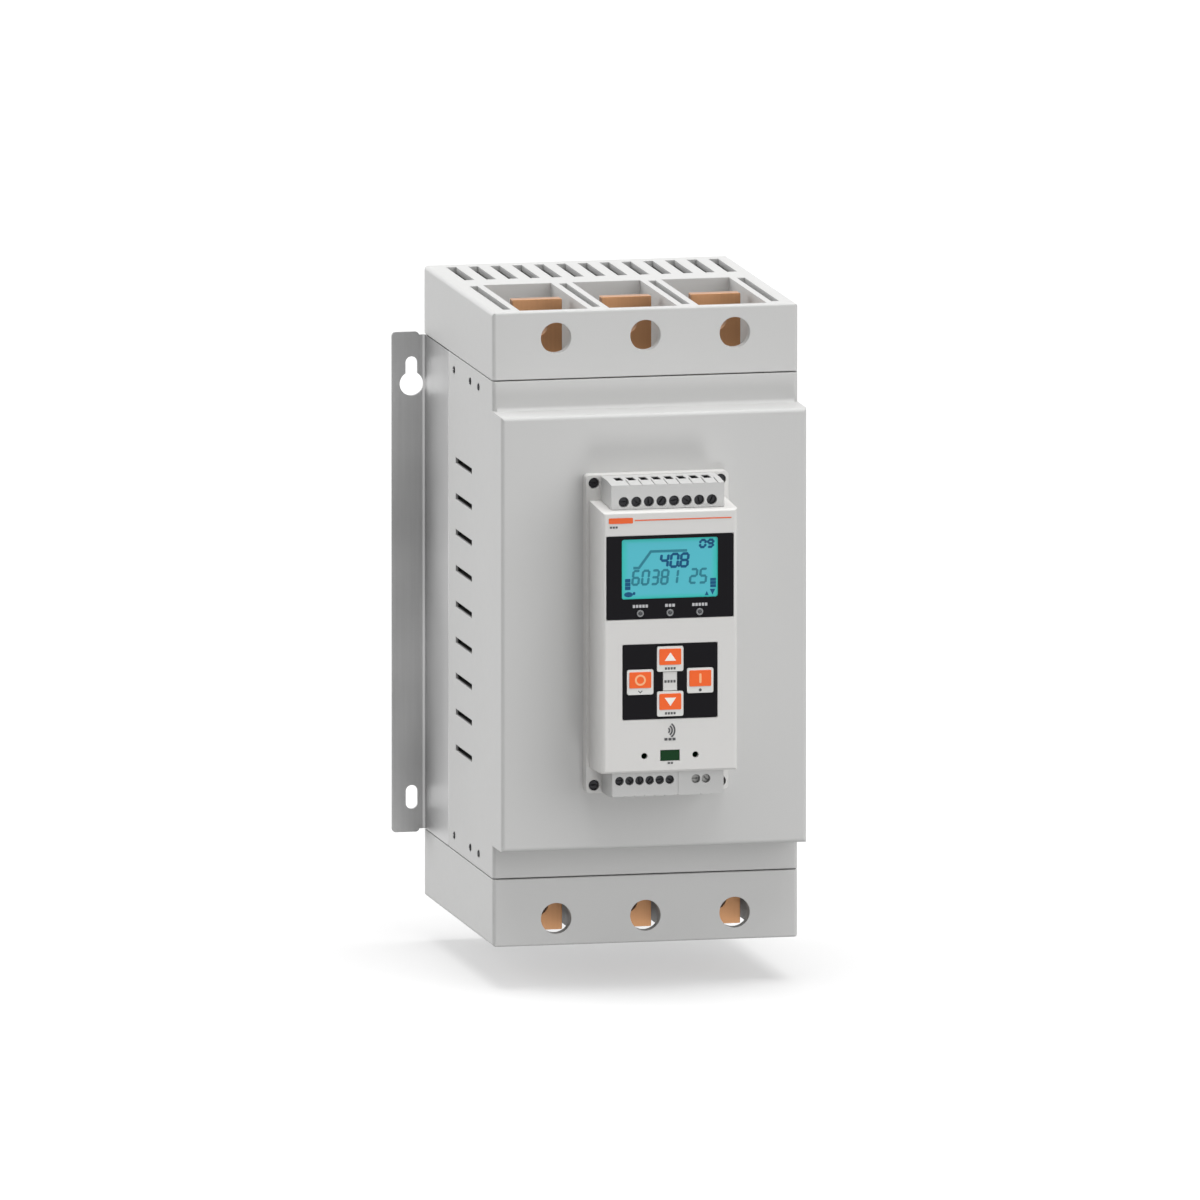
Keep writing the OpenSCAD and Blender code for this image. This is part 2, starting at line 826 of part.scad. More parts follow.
// Moulded cover of the line end: duct deck at the back, cable compartments in front, skirts below
module terminal_cover() {
    z0 = body_h - cover_h;
    bay_end_d = body_d - bay_front_t;
    skirt_out = half_w - wall_t - slip;
    difference() {
        union() {
            shell_block(body_w, [0, body_d], [z0, body_h], seam_r, rim_r, edge_r);
            for (side = [0, 1])
                mirror([side, 0, 0])
                    slab([skirt_out - skirt_t, skirt_out], skirt_ends, [z0 - skirt_l, z0 + wall_t]);
        }
        slab([-half_w + duct_wall, half_w - duct_wall], [chamber_back_t, chamber_d],
            [z0 - past, body_h - duct_wall]);
        for (i = [0:deck_vents - 1])
            slab(about((i - (deck_vents - 1) / 2) * deck_vent_pitch + deck_vent_x, deck_vent_w / 2),
                [deck_vent_d, deck_vent_d + deck_vent_l], [body_h - duct_wall - past, body_h + past]);
        for (i = [1:3]) {
            slab(about(phase_x(i), bay_w / 2), [bay_d, bay_end_d], [z0 + wall_t, body_h + past]);
            slab(about(phase_x(i), bar_w / 2 + slip), [bar_d - bar_t - slip, bar_d + slip],
                [z0 - past, z0 + wall_t + past]);
            rod(access_r, phase_x(i), body_h - bolt_in, [bay_end_d - past, body_d + past]);
        }
        for (i = [0:3])
            slab(about((i - 1.5) * phase_pitch, barrier_w / 2),
                [bay_d + barrier_back, body_d - barrier_front], [z0 + wall_t, body_h + past]);
        for (side = [-1, 1])
            for (d = side_screw_depths)
                translate([side * skirt_out, -d, z0 - seam_gap - side_screw_in])
                    rotate([0, side * 90, 0])
                        translate([0, 0, -skirt_t - past])
                            cylinder(r = side_screw_r, h = skirt_t + 2 * past);
    }
}

module line_terminal_cover() {
    color("whitesmoke")
        placed()
            terminal_cover();
}

module load_terminal_cover() {
    color("whitesmoke")
        placed()
            at_load_end()
                terminal_cover();
}

// Bar from its terminal at the cover's edge, stepped back onto the module
module busbar(i) {
    out_d = bar_d - bar_t / 2;
    in_d = bar_in_d + bar_t / 2;
    top_z = body_h - bar_end;
    low_z = mid_z + module_post - bar_tail;
    path = [[-out_d, top_z], [-out_d, bar_slope_z], [-in_d, bar_slope_z - bar_step], [-in_d, low_z]];
    translate([phase_x(i), 0, 0])
        difference() {
            intersection() {
                side_extrude([-bar_w / 2, bar_w / 2])
                    polygon(strip(path, bar_t, bar_fold_r));
                front_extrude([0, body_d])
                    translate([0, (top_z + low_z) / 2])
                        round_rect(bar_w, top_z - low_z, bar_corner_r);
            }
            rod(bolt_r, 0, body_h - bolt_in, [bar_d - bar_t - past, bar_d + past]);
            rod(post_screw_r + slip, 0, mid_z + module_post, [bar_in_d - past, bar_in_d + bar_t + past]);
        }
}

module line_busbar(i) {
    color("peru")
        placed()
            busbar(i);
}

module load_busbar(i) {
    color("peru")
        placed()
            at_load_end()
                busbar(i);
}

// Moulded block on a metal base with open ends for its fixing screws
module thyristor_module(i) {
    color("ivory")
        placed()
            translate([phase_x(i), 0, mid_z])
                difference() {
                    union() {
                        slab([-module_w / 2, module_w / 2], [sink_d, sink_d + module_base_t],
                            [-module_l / 2, module_l / 2]);
                        slab(about(0, module_w / 2 - module_side), [sink_d, sink_d + module_h - module_drop],
                            [-module_l / 2 + module_step, module_l / 2 - module_step]);
                        for (end = [-1, 1])
                            slab([-bar_w / 2, bar_w / 2], [sink_d, sink_d + module_h],
                                about(end * module_post, module_pad_l / 2));
                    }
                    for (end = [-1, 1]) {
                        rod(module_screw_r + slip, 0, end * module_hole, [sink_d - past, sink_d + module_base_t + past]);
                        rod(post_screw_r, 0, end * module_post, [sink_d + module_h - post_screw_l, sink_d + module_h + past]);
                    }
                }
}

// Bridge-shaped relay that stands with a foot on each bar
module bypass_relay(i) {
    foot_d = bar_in_d + bar_t;
    color("slategray")
        placed()
            translate([phase_x(i), 0, mid_z])
                difference() {
                    side_extrude([-relay_w / 2, relay_w / 2])
                        translate([-foot_d - relay_h / 2, 0])
                            round_rect(relay_h, relay_l, edge_r);
                    slab([-relay_w / 2 - past, relay_w / 2 + past], [foot_d - past, foot_d + relay_foot],
                        [-relay_l / 2 + relay_foot_l, relay_l / 2 - relay_foot_l]);
                }
}

// Ring core in its case, threaded on a load bar
module current_transformer(i) {
    bar_mid_d = bar_in_d + bar_t / 2;
    color("darkslateblue")
        placed()
            translate([phase_x(i), -bar_mid_d, ct_mid_z - ct_h / 2])
                linear_extrude(ct_h)
                    difference() {
                        round_rect(ct_w, ct_depth, ct_corner_r);
                        square([bar_w + 2 * slip, bar_t + 2 * slip], center = true);
                    }
}

module driver_board() {
    color("darkgreen")
        placed()
            difference() {
                union() {
                    front_extrude([driver_d, driver_d + board_t])
                        translate([0, mid_z])
                            round_rect(driver_w, driver_h, edge_r);
                    slab(about(0, header_w / 2), [driver_d + board_t - header_sink, driver_d + board_t + header_h],
                        about(unit_z - ribbon_drop, header_z / 2));
                }
                for (x = standoff_x, z = [mid_z - standoff_z, mid_z + standoff_z])
                    rod(board_screw_r + slip, x, z, [driver_d - past, driver_d + board_t + past]);
            }
}

// Pillars screwed into the heat sink
module board_standoffs() {
    color("goldenrod")
        placed()
            for (x = standoff_x, z = [mid_z - standoff_z, mid_z + standoff_z])
                difference() {
                    union() {
                        rod(standoff_r, x, z, [sink_d, driver_d]);
                        rod(standoff_stud_r, x, z, [sink_d - standoff_stud_l, sink_d + past]);
                    }
                    rod(board_screw_r, x, z, [driver_d + board_t - board_screw_l - past, driver_d + past]);
                }
}

module module_screws() {
    color("silver")
        placed()
            for (i = [1:3], end = [-1, 1])
                front_screw(phase_x(i), sink_d + module_base_t, mid_z + end * module_hole,
                    module_step / 2 - module_head_gap, module_head_h, module_screw_r, module_base_t + module_screw_l);
}

module busbar_screws() {
    color("silver")
        placed()
            for (i = [1:3], end = [-1, 1])
                front_screw(phase_x(i), bar_in_d + bar_t, mid_z + end * module_post,
                    post_head_r, post_head_h, post_screw_r, bar_t + post_screw_l);
}

module bracket_screws() {
    color("silver")
        placed()
            for (side = [-1, 1], z = bracket_screw_heights)
                front_screw(side * (half_w - lip_w + lip_screw_in), bracket_d, z,
                    bracket_head_r, bracket_head_h, bracket_screw_r, bracket_screw_l);
}

module side_screws() {
    color("dimgray")
        placed()
            for (side = [-1, 1])
                at_side_screws(side)
                    translate([0, 0, -side_head_h])
                        screw(side_head_r, side_head_h, side_screw_r,
                            wall_t - side_head_h + slip + skirt_t);
}

module fan_screws() {
    color("silver")
        placed()
            for (side = [-1, 1], end = [-1, 1])
                translate([side * fan_x + end * (fan_size / 2 - fan_hole_in), -fan_screw_d, sink_z - fan_h])
                    mirror([0, 0, 1])
                        screw(fan_head_r, fan_head_h, fan_screw_r, fan_h + fan_screw_l);
}

module board_screws() {
    color("silver")
        placed()
            for (x = standoff_x, z = [mid_z - standoff_z, mid_z + standoff_z])
                front_screw(x, driver_d + board_t, z, board_head_r, board_head_h, board_screw_r, board_screw_l);
}

// Tray that holds the case, with posts for the board
module control_base() {
    tray_w = case_w - 2 * case_wall - 2 * slip;
    tray_h = case_h - 2 * case_wall - 2 * slip;
    color("lightgray")
        placed()
            difference() {
                union() {
                    difference() {
                        front_extrude([panel_d, base_d])
                            translate([0, unit_z])
                                round_rect(base_w, base_h, edge_r);
                        slab([-tray_w / 2, tray_w / 2], [panel_d + base_floor, base_d + past],
                            about(unit_z, tray_h / 2));
                    }
                    for (x = board_post_x, z = board_post_heights)
                        rod(board_post_r, x, z, [panel_d + base_floor / 2, control_d]);
                }
                slab(about(0, ribbon_w / 2 + ribbon_room), [panel_d - past, panel_d + base_floor + past],
                    about(unit_z, ribbon_window_h / 2));
                for (x = base_screw_x, z = base_screw_heights) {
                    rod(base_screw_r + slip, x, z, [panel_d - past, base_d + past]);
                    rod(base_well_r, x, z, [panel_d + base_floor, base_d + past]);
                }
            }
}

module control_unit_screws() {
    color("dimgray")
        placed()
            for (x = base_screw_x, z = base_screw_heights)
                front_screw(x, panel_d + base_floor, z, base_head_r, base_head_h, base_screw_r,
                    base_floor + base_boss_l - past);
}

module bridge_outline(grow) {
    translate([0, keypad_z])
        square([bridge_w + 2 * grow, 2 * (key_reach_z - key_h / 2) - 2 * slip + 2 * grow], center = true);
}

// Case with drafted top and bottom, open at the back
module control_case() {
    back_z = case_h / 2 + case_draft;
    color("gainsboro")
        placed()
            difference() {
                union() {
                    difference() {
                        intersection() {
                            shell_block(case_w, [base_d, face_d], about(unit_z, back_z), 0, 0);
                            side_extrude([-case_w, case_w])
                                translate([0, unit_z])
                                    polygon([[-base_d, -back_z], [-base_d, back_z],
                                        [-face_d + edge_r / 2, case_h / 2], [-face_d, case_h / 2 - edge_r / 2],
                                        [-face_d, -case_h / 2 + edge_r / 2], [-face_d + edge_r / 2, -case_h / 2]]);
                        }
                        slab([-case_w / 2 + case_wall, case_w / 2 - case_wall], [base_d - past, inner_d],
                            about(unit_z, case_h / 2 - case_wall));
                        front_extrude([seat_d, face_d + past])
                            translate([0, unit_z + display_z])
                                square([display_w + 2 * key_gap, display_h + 2 * key_gap], center = true);
                        front_extrude([seat_d, face_d + past])
                            translate([0, keypad_z])
                                square([keypad_w + 2 * key_gap, keypad_h + 2 * key_gap], center = true);
                    }
                    front_extrude([inner_d, seat_d + bezel_t])
                        bridge_outline(0);
                }
                slab([-lcd_w / 2, lcd_w / 2], [inner_d - past, face_d + past], [lcd_z, lcd_z + lcd_h]);
                for (i = [-1:1])
                    rod(lamp_r + key_gap, i * lamp_pitch, lamp_z, [inner_d - past, face_d + past]);
                for (p = key_places)
                    front_extrude([inner_d - past, face_d + past])
                        translate([p.x, keypad_z + p.y])
                            round_rect(key_w + 2 * key_gap, key_h + 2 * key_gap, key_r);
                slab([-port_w / 2 - key_gap, port_w / 2 + key_gap], [inner_d - past, face_d + past],
                    about(port_z, port_h / 2 + key_gap));
                for (side = [-1, 1])
                    rod(dongle_r, side * dongle_x, port_z, [inner_d - past, face_d + past]);
            }
}

module control_board() {
    color("darkgreen")
        placed() {
            slab([-control_w / 2, control_w / 2], [control_d, control_d + board_t],
                about(unit_z, control_h / 2));
            slab(about(0, header_w / 2), [control_d - header_h, control_d + header_sink], about(unit_z, header_z / 2));
        }
}

module display_bezel() {
    color("black")
        placed()
            difference() {
                front_extrude([seat_d, seat_d + bezel_t])
                    translate([0, unit_z + display_z])
                        round_rect(display_w, display_h, bezel_r);
                front_extrude([seat_d - past, face_d + past])
                    translate([0, lcd_z + lcd_h / 2])
                        round_rect(lcd_w - 2 * slip, lcd_h - 2 * slip, lcd_r);
                for (i = [-1:1])
                    rod(lamp_r + key_gap, i * lamp_pitch, lamp_z, [seat_d - past, face_d + past]);
            }
}

// Glass panel that stands on the board and fills the window behind the bezel
module lcd_panel() {
    color("cadetblue")
        placed()
            slab([-lcd_w / 2 + key_gap, lcd_w / 2 - key_gap], [control_d + board_t, seat_d],
                [lcd_z + key_gap, lcd_z + lcd_h - key_gap]);
}

// Light pipe from the board to the bezel
module status_lamp(i) {
    color("whitesmoke")
        placed() {
            rod(lamp_r, i * lamp_pitch, lamp_z, [control_d + board_t, seat_d + bezel_t]);
            translate([i * lamp_pitch, -seat_d - bezel_t, lamp_z])
                rotate([90, 0, 0])
                    cylinder(r1 = lamp_r, r2 = lamp_tip_r, h = lamp_tip_h);
        }
}

module keypad_bezel() {
    color("black")
        placed()
            difference() {
                front_extrude([seat_d, seat_d + bezel_t])
                    translate([0, keypad_z])
                        round_rect(keypad_w, keypad_h, bezel_r);
                front_extrude([seat_d - past, face_d + past])
                    bridge_outline(key_gap);
                for (p = key_places)
                    front_extrude([seat_d - past, face_d + past])
                        translate([p.x, keypad_z + p.y])
                            round_rect(key_w + 2 * key_gap, key_h + 2 * key_gap, key_r);
            }
}

// Cap with a raised pad, and a flange that stops it behind the case wall
module key(p) {
    flange_d = inner_d - key_keep;
    color("orangered")
        placed()
            translate([p.x, 0, keypad_z + p.y]) {
                front_extrude([flange_d - key_flange_t, flange_d])
                    square([key_w + 2 * key_flange_x, key_h + 2 * key_flange_z], center = true);
                front_extrude([flange_d - key_flange_t, face_d + key_proud])
                    round_rect(key_w, key_h, key_r);
                front_extrude([flange_d, face_d + key_proud + pad_proud])
                    translate([0, pad_lift])
                        round_rect(pad_w, pad_h, key_r / 2);
            }
}

// Rubber mat with a dome under each key
module key_mat() {
    dome_d = inner_d - key_keep - key_flange_t - key_travel - dome_gap;
    color("gray")
        placed() {
            front_extrude([control_d + board_t, control_d + board_t + mat_t])
                translate([0, keypad_z])
                    round_rect(keypad_w, keypad_h, mat_r);
            for (p = key_places)
                translate([p.x, -control_d - board_t - mat_t / 2, keypad_z + p.y])
                    rotate([90, 0, 0])
                        cylinder(r1 = dome_r, r2 = dome_tip_r, h = dome_d - control_d - board_t - mat_t / 2);
        }
}

// Tinted window with a flange behind the case wall
module port_window() {
    color("limegreen")
        placed()
            translate([0, 0, port_z]) {
                slab(about(0, port_w / 2), [inner_d - port_flange, face_d - port_sink], about(0, port_h / 2));
                slab(about(0, port_w / 2 + port_flange), [inner_d - port_flange, inner_d],
                    about(0, port_h / 2 + port_flange));
            }
}

// Turns what is modelled for the upper terminals over to the lower ones
module at_lower_blocks() {
    translate([0, 0, 2 * unit_z])
        mirror([0, 0, 1])
            children();
}

// Plug with a screw well in front and a wire entry on top for each pole
module terminal_block(x, w, poles, pitch, well_r, well_rise) {
    front = base_d + block_d;
    entry_w = pitch * entry_share;
    entry_d = front - groove_run - entry_run / 2 + entry_shift;
    difference() {
        side_extrude([x, x + w])
            polygon([[-base_d, block_z], [-base_d, block_z + block_h], [-front + groove_run, block_z + block_h],
                [-front, block_z + block_h - block_fall], [-front, block_z - block_slope * block_d]]);
        for (i = [0:poles - 1]) {
            rod(well_r, pole_x(i, x, w, poles, pitch), block_z + well_rise, [front - well_l, front + past]);
            slab(about(pole_x(i, x, w, poles, pitch), entry_w / 2), about(entry_d, entry_run / 2),
                [block_z + block_h - entry_l, block_z + block_h + past]);
        }
        for (i = [1:poles])
            slab(about(pole_x(i - 0.5, x, w, poles, pitch), groove_w / 2), [front - groove_run, front + past],
                [block_z + block_h - groove_h, block_z + block_h + past]);
    }
}

function pole_x(i, x, w, poles, pitch) = x + w / 2 + (i - (poles - 1) / 2) * pitch;

module block_screws(x, w, poles, pitch, well_r, well_rise) {
    for (i = [0:poles - 1])
        front_screw(pole_x(i, x, w, poles, pitch), base_d + block_d - well_l + block_screw_l, block_z + well_rise,
            well_r - key_keep, block_head_h, well_r / 2, block_screw_l);
}

module upper_terminal_block() {
    color("lightgray")
        placed()
            terminal_block(-upper_block_w / 2, upper_block_w, upper_poles, upper_pitch, upper_well_r, upper_well_rise);
}

module upper_block_screws() {
    color("dimgray")
        placed()
            block_screws(-upper_block_w / 2, upper_block_w, upper_poles, upper_pitch, upper_well_r, upper_well_rise);
}

module lower_terminal_block() {
    color("lightgray")
        placed()
            at_lower_blocks()
                terminal_block(lower_block_x, lower_block_w, lower_poles, lower_pitch, lower_well_r, lower_well_rise);
}

module lower_block_screws() {
    color("dimgray")
        placed()
            at_lower_blocks()
                block_screws(lower_block_x, lower_block_w, lower_poles, lower_pitch, lower_well_r, lower_well_rise);
}

module aux_terminal_block() {
    color("lightgray")
        placed()
            at_lower_blocks()
                terminal_block(aux_block_x, aux_block_w, aux_poles, lower_pitch, lower_well_r, lower_well_rise);
}

module aux_block_screws() {
    color("silver")
        placed()
            at_lower_blocks()
                block_screws(aux_block_x, aux_block_w, aux_poles, lower_pitch, lower_well_r, lower_well_rise);
}

// Flat cable from the driver board through the panel to the control board
module ribbon_cable() {
    start_d = driver_d + board_t + header_h;
    turn_d = (start_d + panel_d - wall_t) / 2;
    low_z = unit_z - ribbon_drop;
    path = [[-start_d, low_z], [-turn_d, low_z], [-turn_d, unit_z], [-control_d + header_h, unit_z]];
    color("lightgray")
        placed()
            side_extrude([-ribbon_w / 2, ribbon_w / 2])
                polygon(strip(path, ribbon_t, ribbon_fold_r));
}

side_bracket_left();
side_bracket_right();
heat_sink();
fan_frame(-fan_x);  // fan_frame_left
fan_frame(fan_x);  // fan_frame_right
fan_rotor(-fan_x);  // fan_rotor_left
fan_rotor(fan_x);  // fan_rotor_right
main_cover();
line_terminal_cover();
load_terminal_cover();
line_busbar(1);  // line_busbar_1
line_busbar(2);  // line_busbar_2
line_busbar(3);  // line_busbar_3
load_busbar(1);  // load_busbar_1
load_busbar(2);  // load_busbar_2
load_busbar(3);  // load_busbar_3
thyristor_module(1);  // thyristor_module_1
thyristor_module(2);  // thyristor_module_2
thyristor_module(3);  // thyristor_module_3
bypass_relay(1);  // bypass_relay_1
bypass_relay(2);  // bypass_relay_2
bypass_relay(3);  // bypass_relay_3
current_transformer(1);  // current_transformer_1
current_transformer(2);  // current_transformer_2
current_transformer(3);  // current_transformer_3
driver_board();
board_standoffs();
module_screws();
busbar_screws();
bracket_screws();
side_screws();
fan_screws();
board_screws();
control_base();
control_case();
control_board();
display_bezel();
lcd_panel();
status_lamp(-1);  // status_lamp_left
status_lamp(0);  // status_lamp_middle
status_lamp(1);  // status_lamp_right
keypad_bezel();
key(key_places[0]);  // key_up
key(key_places[1]);  // key_down
key(key_places[2]);  // key_stop
key(key_places[3]);  // key_start
key_mat();
port_window();
upper_terminal_block();
upper_block_screws();
lower_terminal_block();
lower_block_screws();
aux_terminal_block();
aux_block_screws();
control_unit_screws();
ribbon_cable();
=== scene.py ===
# %% [markdown]
# # A soft starter in its studio
# A soft starter eases a motor up to speed: three copper bars run through a light grey housing, and a
# small control unit on the front shows what the ramp is doing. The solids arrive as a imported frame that
# is never moved or reshaped. This lesson gives every one of them a finish, adds the small surfaces that
# solids leave out, and lights the whole for its picture.

# %% Load the frame and keep its box
import json
import math

import bmesh
import bpy
import numpy as np
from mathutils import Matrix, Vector


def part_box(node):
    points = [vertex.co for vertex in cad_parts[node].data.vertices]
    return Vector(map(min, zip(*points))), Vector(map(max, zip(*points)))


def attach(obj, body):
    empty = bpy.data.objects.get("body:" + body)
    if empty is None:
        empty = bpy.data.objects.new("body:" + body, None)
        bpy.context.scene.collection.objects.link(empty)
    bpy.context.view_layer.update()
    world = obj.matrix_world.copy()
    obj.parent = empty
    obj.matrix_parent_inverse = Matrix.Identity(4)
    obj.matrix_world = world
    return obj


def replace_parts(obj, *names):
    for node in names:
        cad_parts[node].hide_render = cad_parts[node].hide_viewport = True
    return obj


MM = 0.001
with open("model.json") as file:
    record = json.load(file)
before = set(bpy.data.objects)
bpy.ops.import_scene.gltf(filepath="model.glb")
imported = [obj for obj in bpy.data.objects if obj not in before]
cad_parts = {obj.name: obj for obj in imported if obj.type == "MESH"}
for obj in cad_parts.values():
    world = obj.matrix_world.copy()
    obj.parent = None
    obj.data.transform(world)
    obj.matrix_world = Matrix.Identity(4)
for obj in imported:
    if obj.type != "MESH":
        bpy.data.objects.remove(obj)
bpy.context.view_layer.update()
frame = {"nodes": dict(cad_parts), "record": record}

# %% [markdown]
# ## The camera
# The picture was taken from slightly left of the front and a little above, with so long a lens that
# upright edges stay parallel. A camera close by would fan them out, so this one stands far back with a
# telephoto lens. One point of the object and the pixel where it shows fix the framing; the number of
# pixels to a millimetre fixes the lens.

# %% Camera at the photograph's angle
PHOTO_SIDE = 1200
PIXELS_PER_MM = 2.01656
AZIMUTH = -12.174
ELEVATION = 8.899
KNOWN_POINT = Vector((0, 10.25, 158)) * MM
KNOWN_PIXEL = (618.81, 607.82)
CAMERA_DISTANCE = 24.0


def view_axes(azimuth, elevation):
    """Unit vectors from the object to the camera, to the picture's right and to its top."""
    a, e = math.radians(azimuth), math.radians(elevation)
    back = Vector((math.sin(a) * math.cos(e), -math.cos(a) * math.cos(e), math.sin(e)))
    right = Vector((math.cos(a), math.sin(a), 0))
    return back, right, back.cross(right)


back, right, up = view_axes(AZIMUTH, ELEVATION)
metres_per_pixel = MM / PIXELS_PER_MM
aim = (
    KNOWN_POINT
    - right * (KNOWN_PIXEL[0] - PHOTO_SIDE / 2) * metres_per_pixel
    + up * (KNOWN_PIXEL[1] - PHOTO_SIDE / 2) * metres_per_pixel
)
lens = bpy.data.cameras.new("telephoto")
lens.lens = lens.sensor_width * CAMERA_DISTANCE / (PHOTO_SIDE * metres_per_pixel)
lens.clip_end = 4 * CAMERA_DISTANCE
camera = bpy.data.objects.new("camera", lens)
camera.location = aim + back * CAMERA_DISTANCE
camera.rotation_euler = back.to_track_quat("Z", "Y").to_euler()
bpy.context.scene.collection.objects.link(camera)
bpy.context.scene.camera = camera
print(f"camera: {lens.lens:.0f} mm lens at {CAMERA_DISTANCE:.0f} m")

# %% [markdown]
# ## Mesh helpers
# Every new piece is worked out with numpy as rows and columns of points, and a few helpers turn such
# grids into meshes. Loops over single vertices would be slow and hard to read, so each shape is a
# formula on whole arrays. Merging doubles closes the poles, and recalculating the normals then turns
# every face outwards.

# %% From grids of points to an object on a body
MERGE_DISTANCE = 1e-4 * MM


def grid_quads(rows, columns, wrap_rows=False):
    """Corner numbers of the quads between neighbouring rows and columns. Columns always close on
    themselves, and rows do too where wrap_rows is set."""
    r = np.arange(rows if wrap_rows else rows - 1)[:, None]
    c = np.arange(columns)[None, :]
    below, beside = (r + 1) % rows, (c + 1) % columns
    corners = [r * columns + c, r * columns + beside, below * columns + beside, below * columns + c]
    return np.stack(np.broadcast_arrays(*corners), axis=-1).reshape(-1, 4)


def grid_part(points, wrap_rows=False):
    """A part from an array of rows by columns by xyz."""
    return points.reshape(-1, 3), grid_quads(*points.shape[:2], wrap_rows)


def make_piece(name, parts, material, body):
    """Joins parts into one mesh object, closes and orients it, gives it the material, and lets it ride on
    a body."""
    starts = np.cumsum([0] + [len(points) for points, _ in parts])
    points = np.concatenate([points for points, _ in parts])
    quads = np.concatenate([quads + start for (_, quads), start in zip(parts, starts)])
    mesh = bpy.data.meshes.new(name)
    mesh.from_pydata(points, [], quads.tolist())
    shell = bmesh.new()
    shell.from_mesh(mesh)
    bmesh.ops.remove_doubles(shell, verts=shell.verts, dist=MERGE_DISTANCE)
    bmesh.ops.recalc_face_normals(shell, faces=shell.faces)
    shell.to_mesh(mesh)
    shell.free()
    mesh.materials.append(material)
    piece = bpy.data.objects.new(name, mesh)
    bpy.context.scene.collection.objects.link(piece)
    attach(piece, body)
    return piece


print("helpers ready: grid_part and make_piece")

# %% [markdown]
# ## Node helpers
# A finish is a small tree of nodes. A few helpers keep the recipes short: one adds a node and fills in
# its inputs, others do the steps that come back in most finishes, and one starts a shared group. An
# input is either a fixed value or the output of another node.

# %% Adding nodes and starting groups
KINDS = {"colour": "NodeSocketColor", "value": "NodeSocketFloat", "vector": "NodeSocketVector"}


def srgb(red, green, blue):
    """A colour from 0 to 255, as a picture shows it, by the sRGB formula in the shaders' linear values."""
    c = np.array([red, green, blue]) / 255
    linear = np.where(c <= 0.04045, c / 12.92, ((c + 0.055) / 1.055) ** 2.4)
    return (*linear.tolist(), 1.0)


def fill_inputs(tree, made, inputs):
    """Links or sets each named or numbered input of a node."""
    for key, value in inputs.items():
        if isinstance(value, bpy.types.NodeSocket):
            tree.links.new(value, made.inputs[key])
        else:
            made.inputs[key].default_value = value
    return made


def add_node(tree, kind, inputs, **options):
    """A new shader node with its options and inputs."""
    made = tree.nodes.new("ShaderNode" + kind)
    for key, value in options.items():
        setattr(made, key, value)
    return fill_inputs(tree, made, inputs)


def sum_up(tree, operation, *values):
    """One Math node on the given values."""
    return add_node(tree, "Math", dict(enumerate(values)), operation=operation).outputs[0]


def rescale(tree, value, low, high, to_low, to_high):
    """A value between low and high carried over to the range from to_low to to_high, and held there."""
    inputs = {"Value": value, "From Min": low, "From Max": high, "To Min": to_low, "To Max": to_high}
    return add_node(tree, "MapRange", inputs).outputs["Result"]


def blend_colours(tree, share, first, second):
    """The first colour where share is 0, the second where it is 1."""
    return add_node(tree, "Mix", {0: share, 6: first, 7: second}, data_type="RGBA").outputs[2]


def brighten(tree, colour, factor):
    """A colour made lighter or darker by a factor."""
    return add_node(tree, "HueSaturation", {"Color": colour, "Value": factor}).outputs[0]


def object_place(tree):
    """The point on the object, in metres in its own frame."""
    return tree.nodes.new("ShaderNodeTexCoord").outputs["Object"]


def object_axes(tree):
    """The three coordinates of the point on the object, by the names X, Y and Z."""
    return add_node(tree, "SeparateXYZ", {0: object_place(tree)}).outputs


def noise(tree, place, scale, detail):
    """Noise from 0 to 1, in patches about 1 / scale wide."""
    return add_node(tree, "TexNoise", {"Vector": place, "Scale": scale, "Detail": detail}).outputs[0]


def sway_about(tree, value, amount, middle):
    """A noise that sways about a middle value: middle + (value - 0.5) * amount."""
    return sum_up(tree, "MULTIPLY_ADD", sum_up(tree, "SUBTRACT", value, 0.5), amount, middle)


def raise_bumps(tree, height, distance, **normal):
    """A normal bent by a height from 0 to 1 that stands for a distance in metres."""
    return add_node(tree, "Bump", {"Height": height, "Distance": distance, **normal}).outputs[0]


def start_group(name, inputs, outputs):
    """An empty shader group with named inputs and outputs, and its two end nodes."""
    group = bpy.data.node_groups.new(name, "ShaderNodeTree")
    for label, kind in inputs.items():
        group.interface.new_socket(label, in_out="INPUT", socket_type=KINDS[kind])
    for label, kind in outputs.items():
        group.interface.new_socket(label, in_out="OUTPUT", socket_type=KINDS[kind])
    return group, group.nodes.new("NodeGroupInput").outputs, group.nodes.new("NodeGroupOutput")


def place_group(tree, group, inputs):
    """One use of a shared group in a material."""
    made = tree.nodes.new("ShaderNodeGroup")
    made.node_tree = group
    return fill_inputs(tree, made, inputs).outputs


def new_finish(name):
    """A material with a Principled shader: the material, its tree and the shader."""
    material = bpy.data.materials.new(name)
    material.use_nodes = True
    tree = material.node_tree
    return material, tree, tree.nodes["Principled BSDF"]


print("node helpers ready, for", ", ".join(KINDS), "sockets")

# %% [markdown]
# ## Studio floor and light
# The unit hangs on a wall in use, so the pale floor lies a little below it, and daylight reaches the
# open undersides of the load compartments. The floor is a light table: half of its white is its own
# glow, so the shadow on it stays soft and pale, and a lamp beneath it shines up at the front. It throws
# less light back than white paper would, so the undersides keep their shade, and it is clear from below,
# so that the underside can be looked at too. Three more broad suns do the rest. The key comes from the
# front right, so the control unit shades the panel to its left. The fill comes from behind on the left:
# it lights the long side wall but hardly reaches the side of the control unit. The top light makes the
# deck the brightest plane.

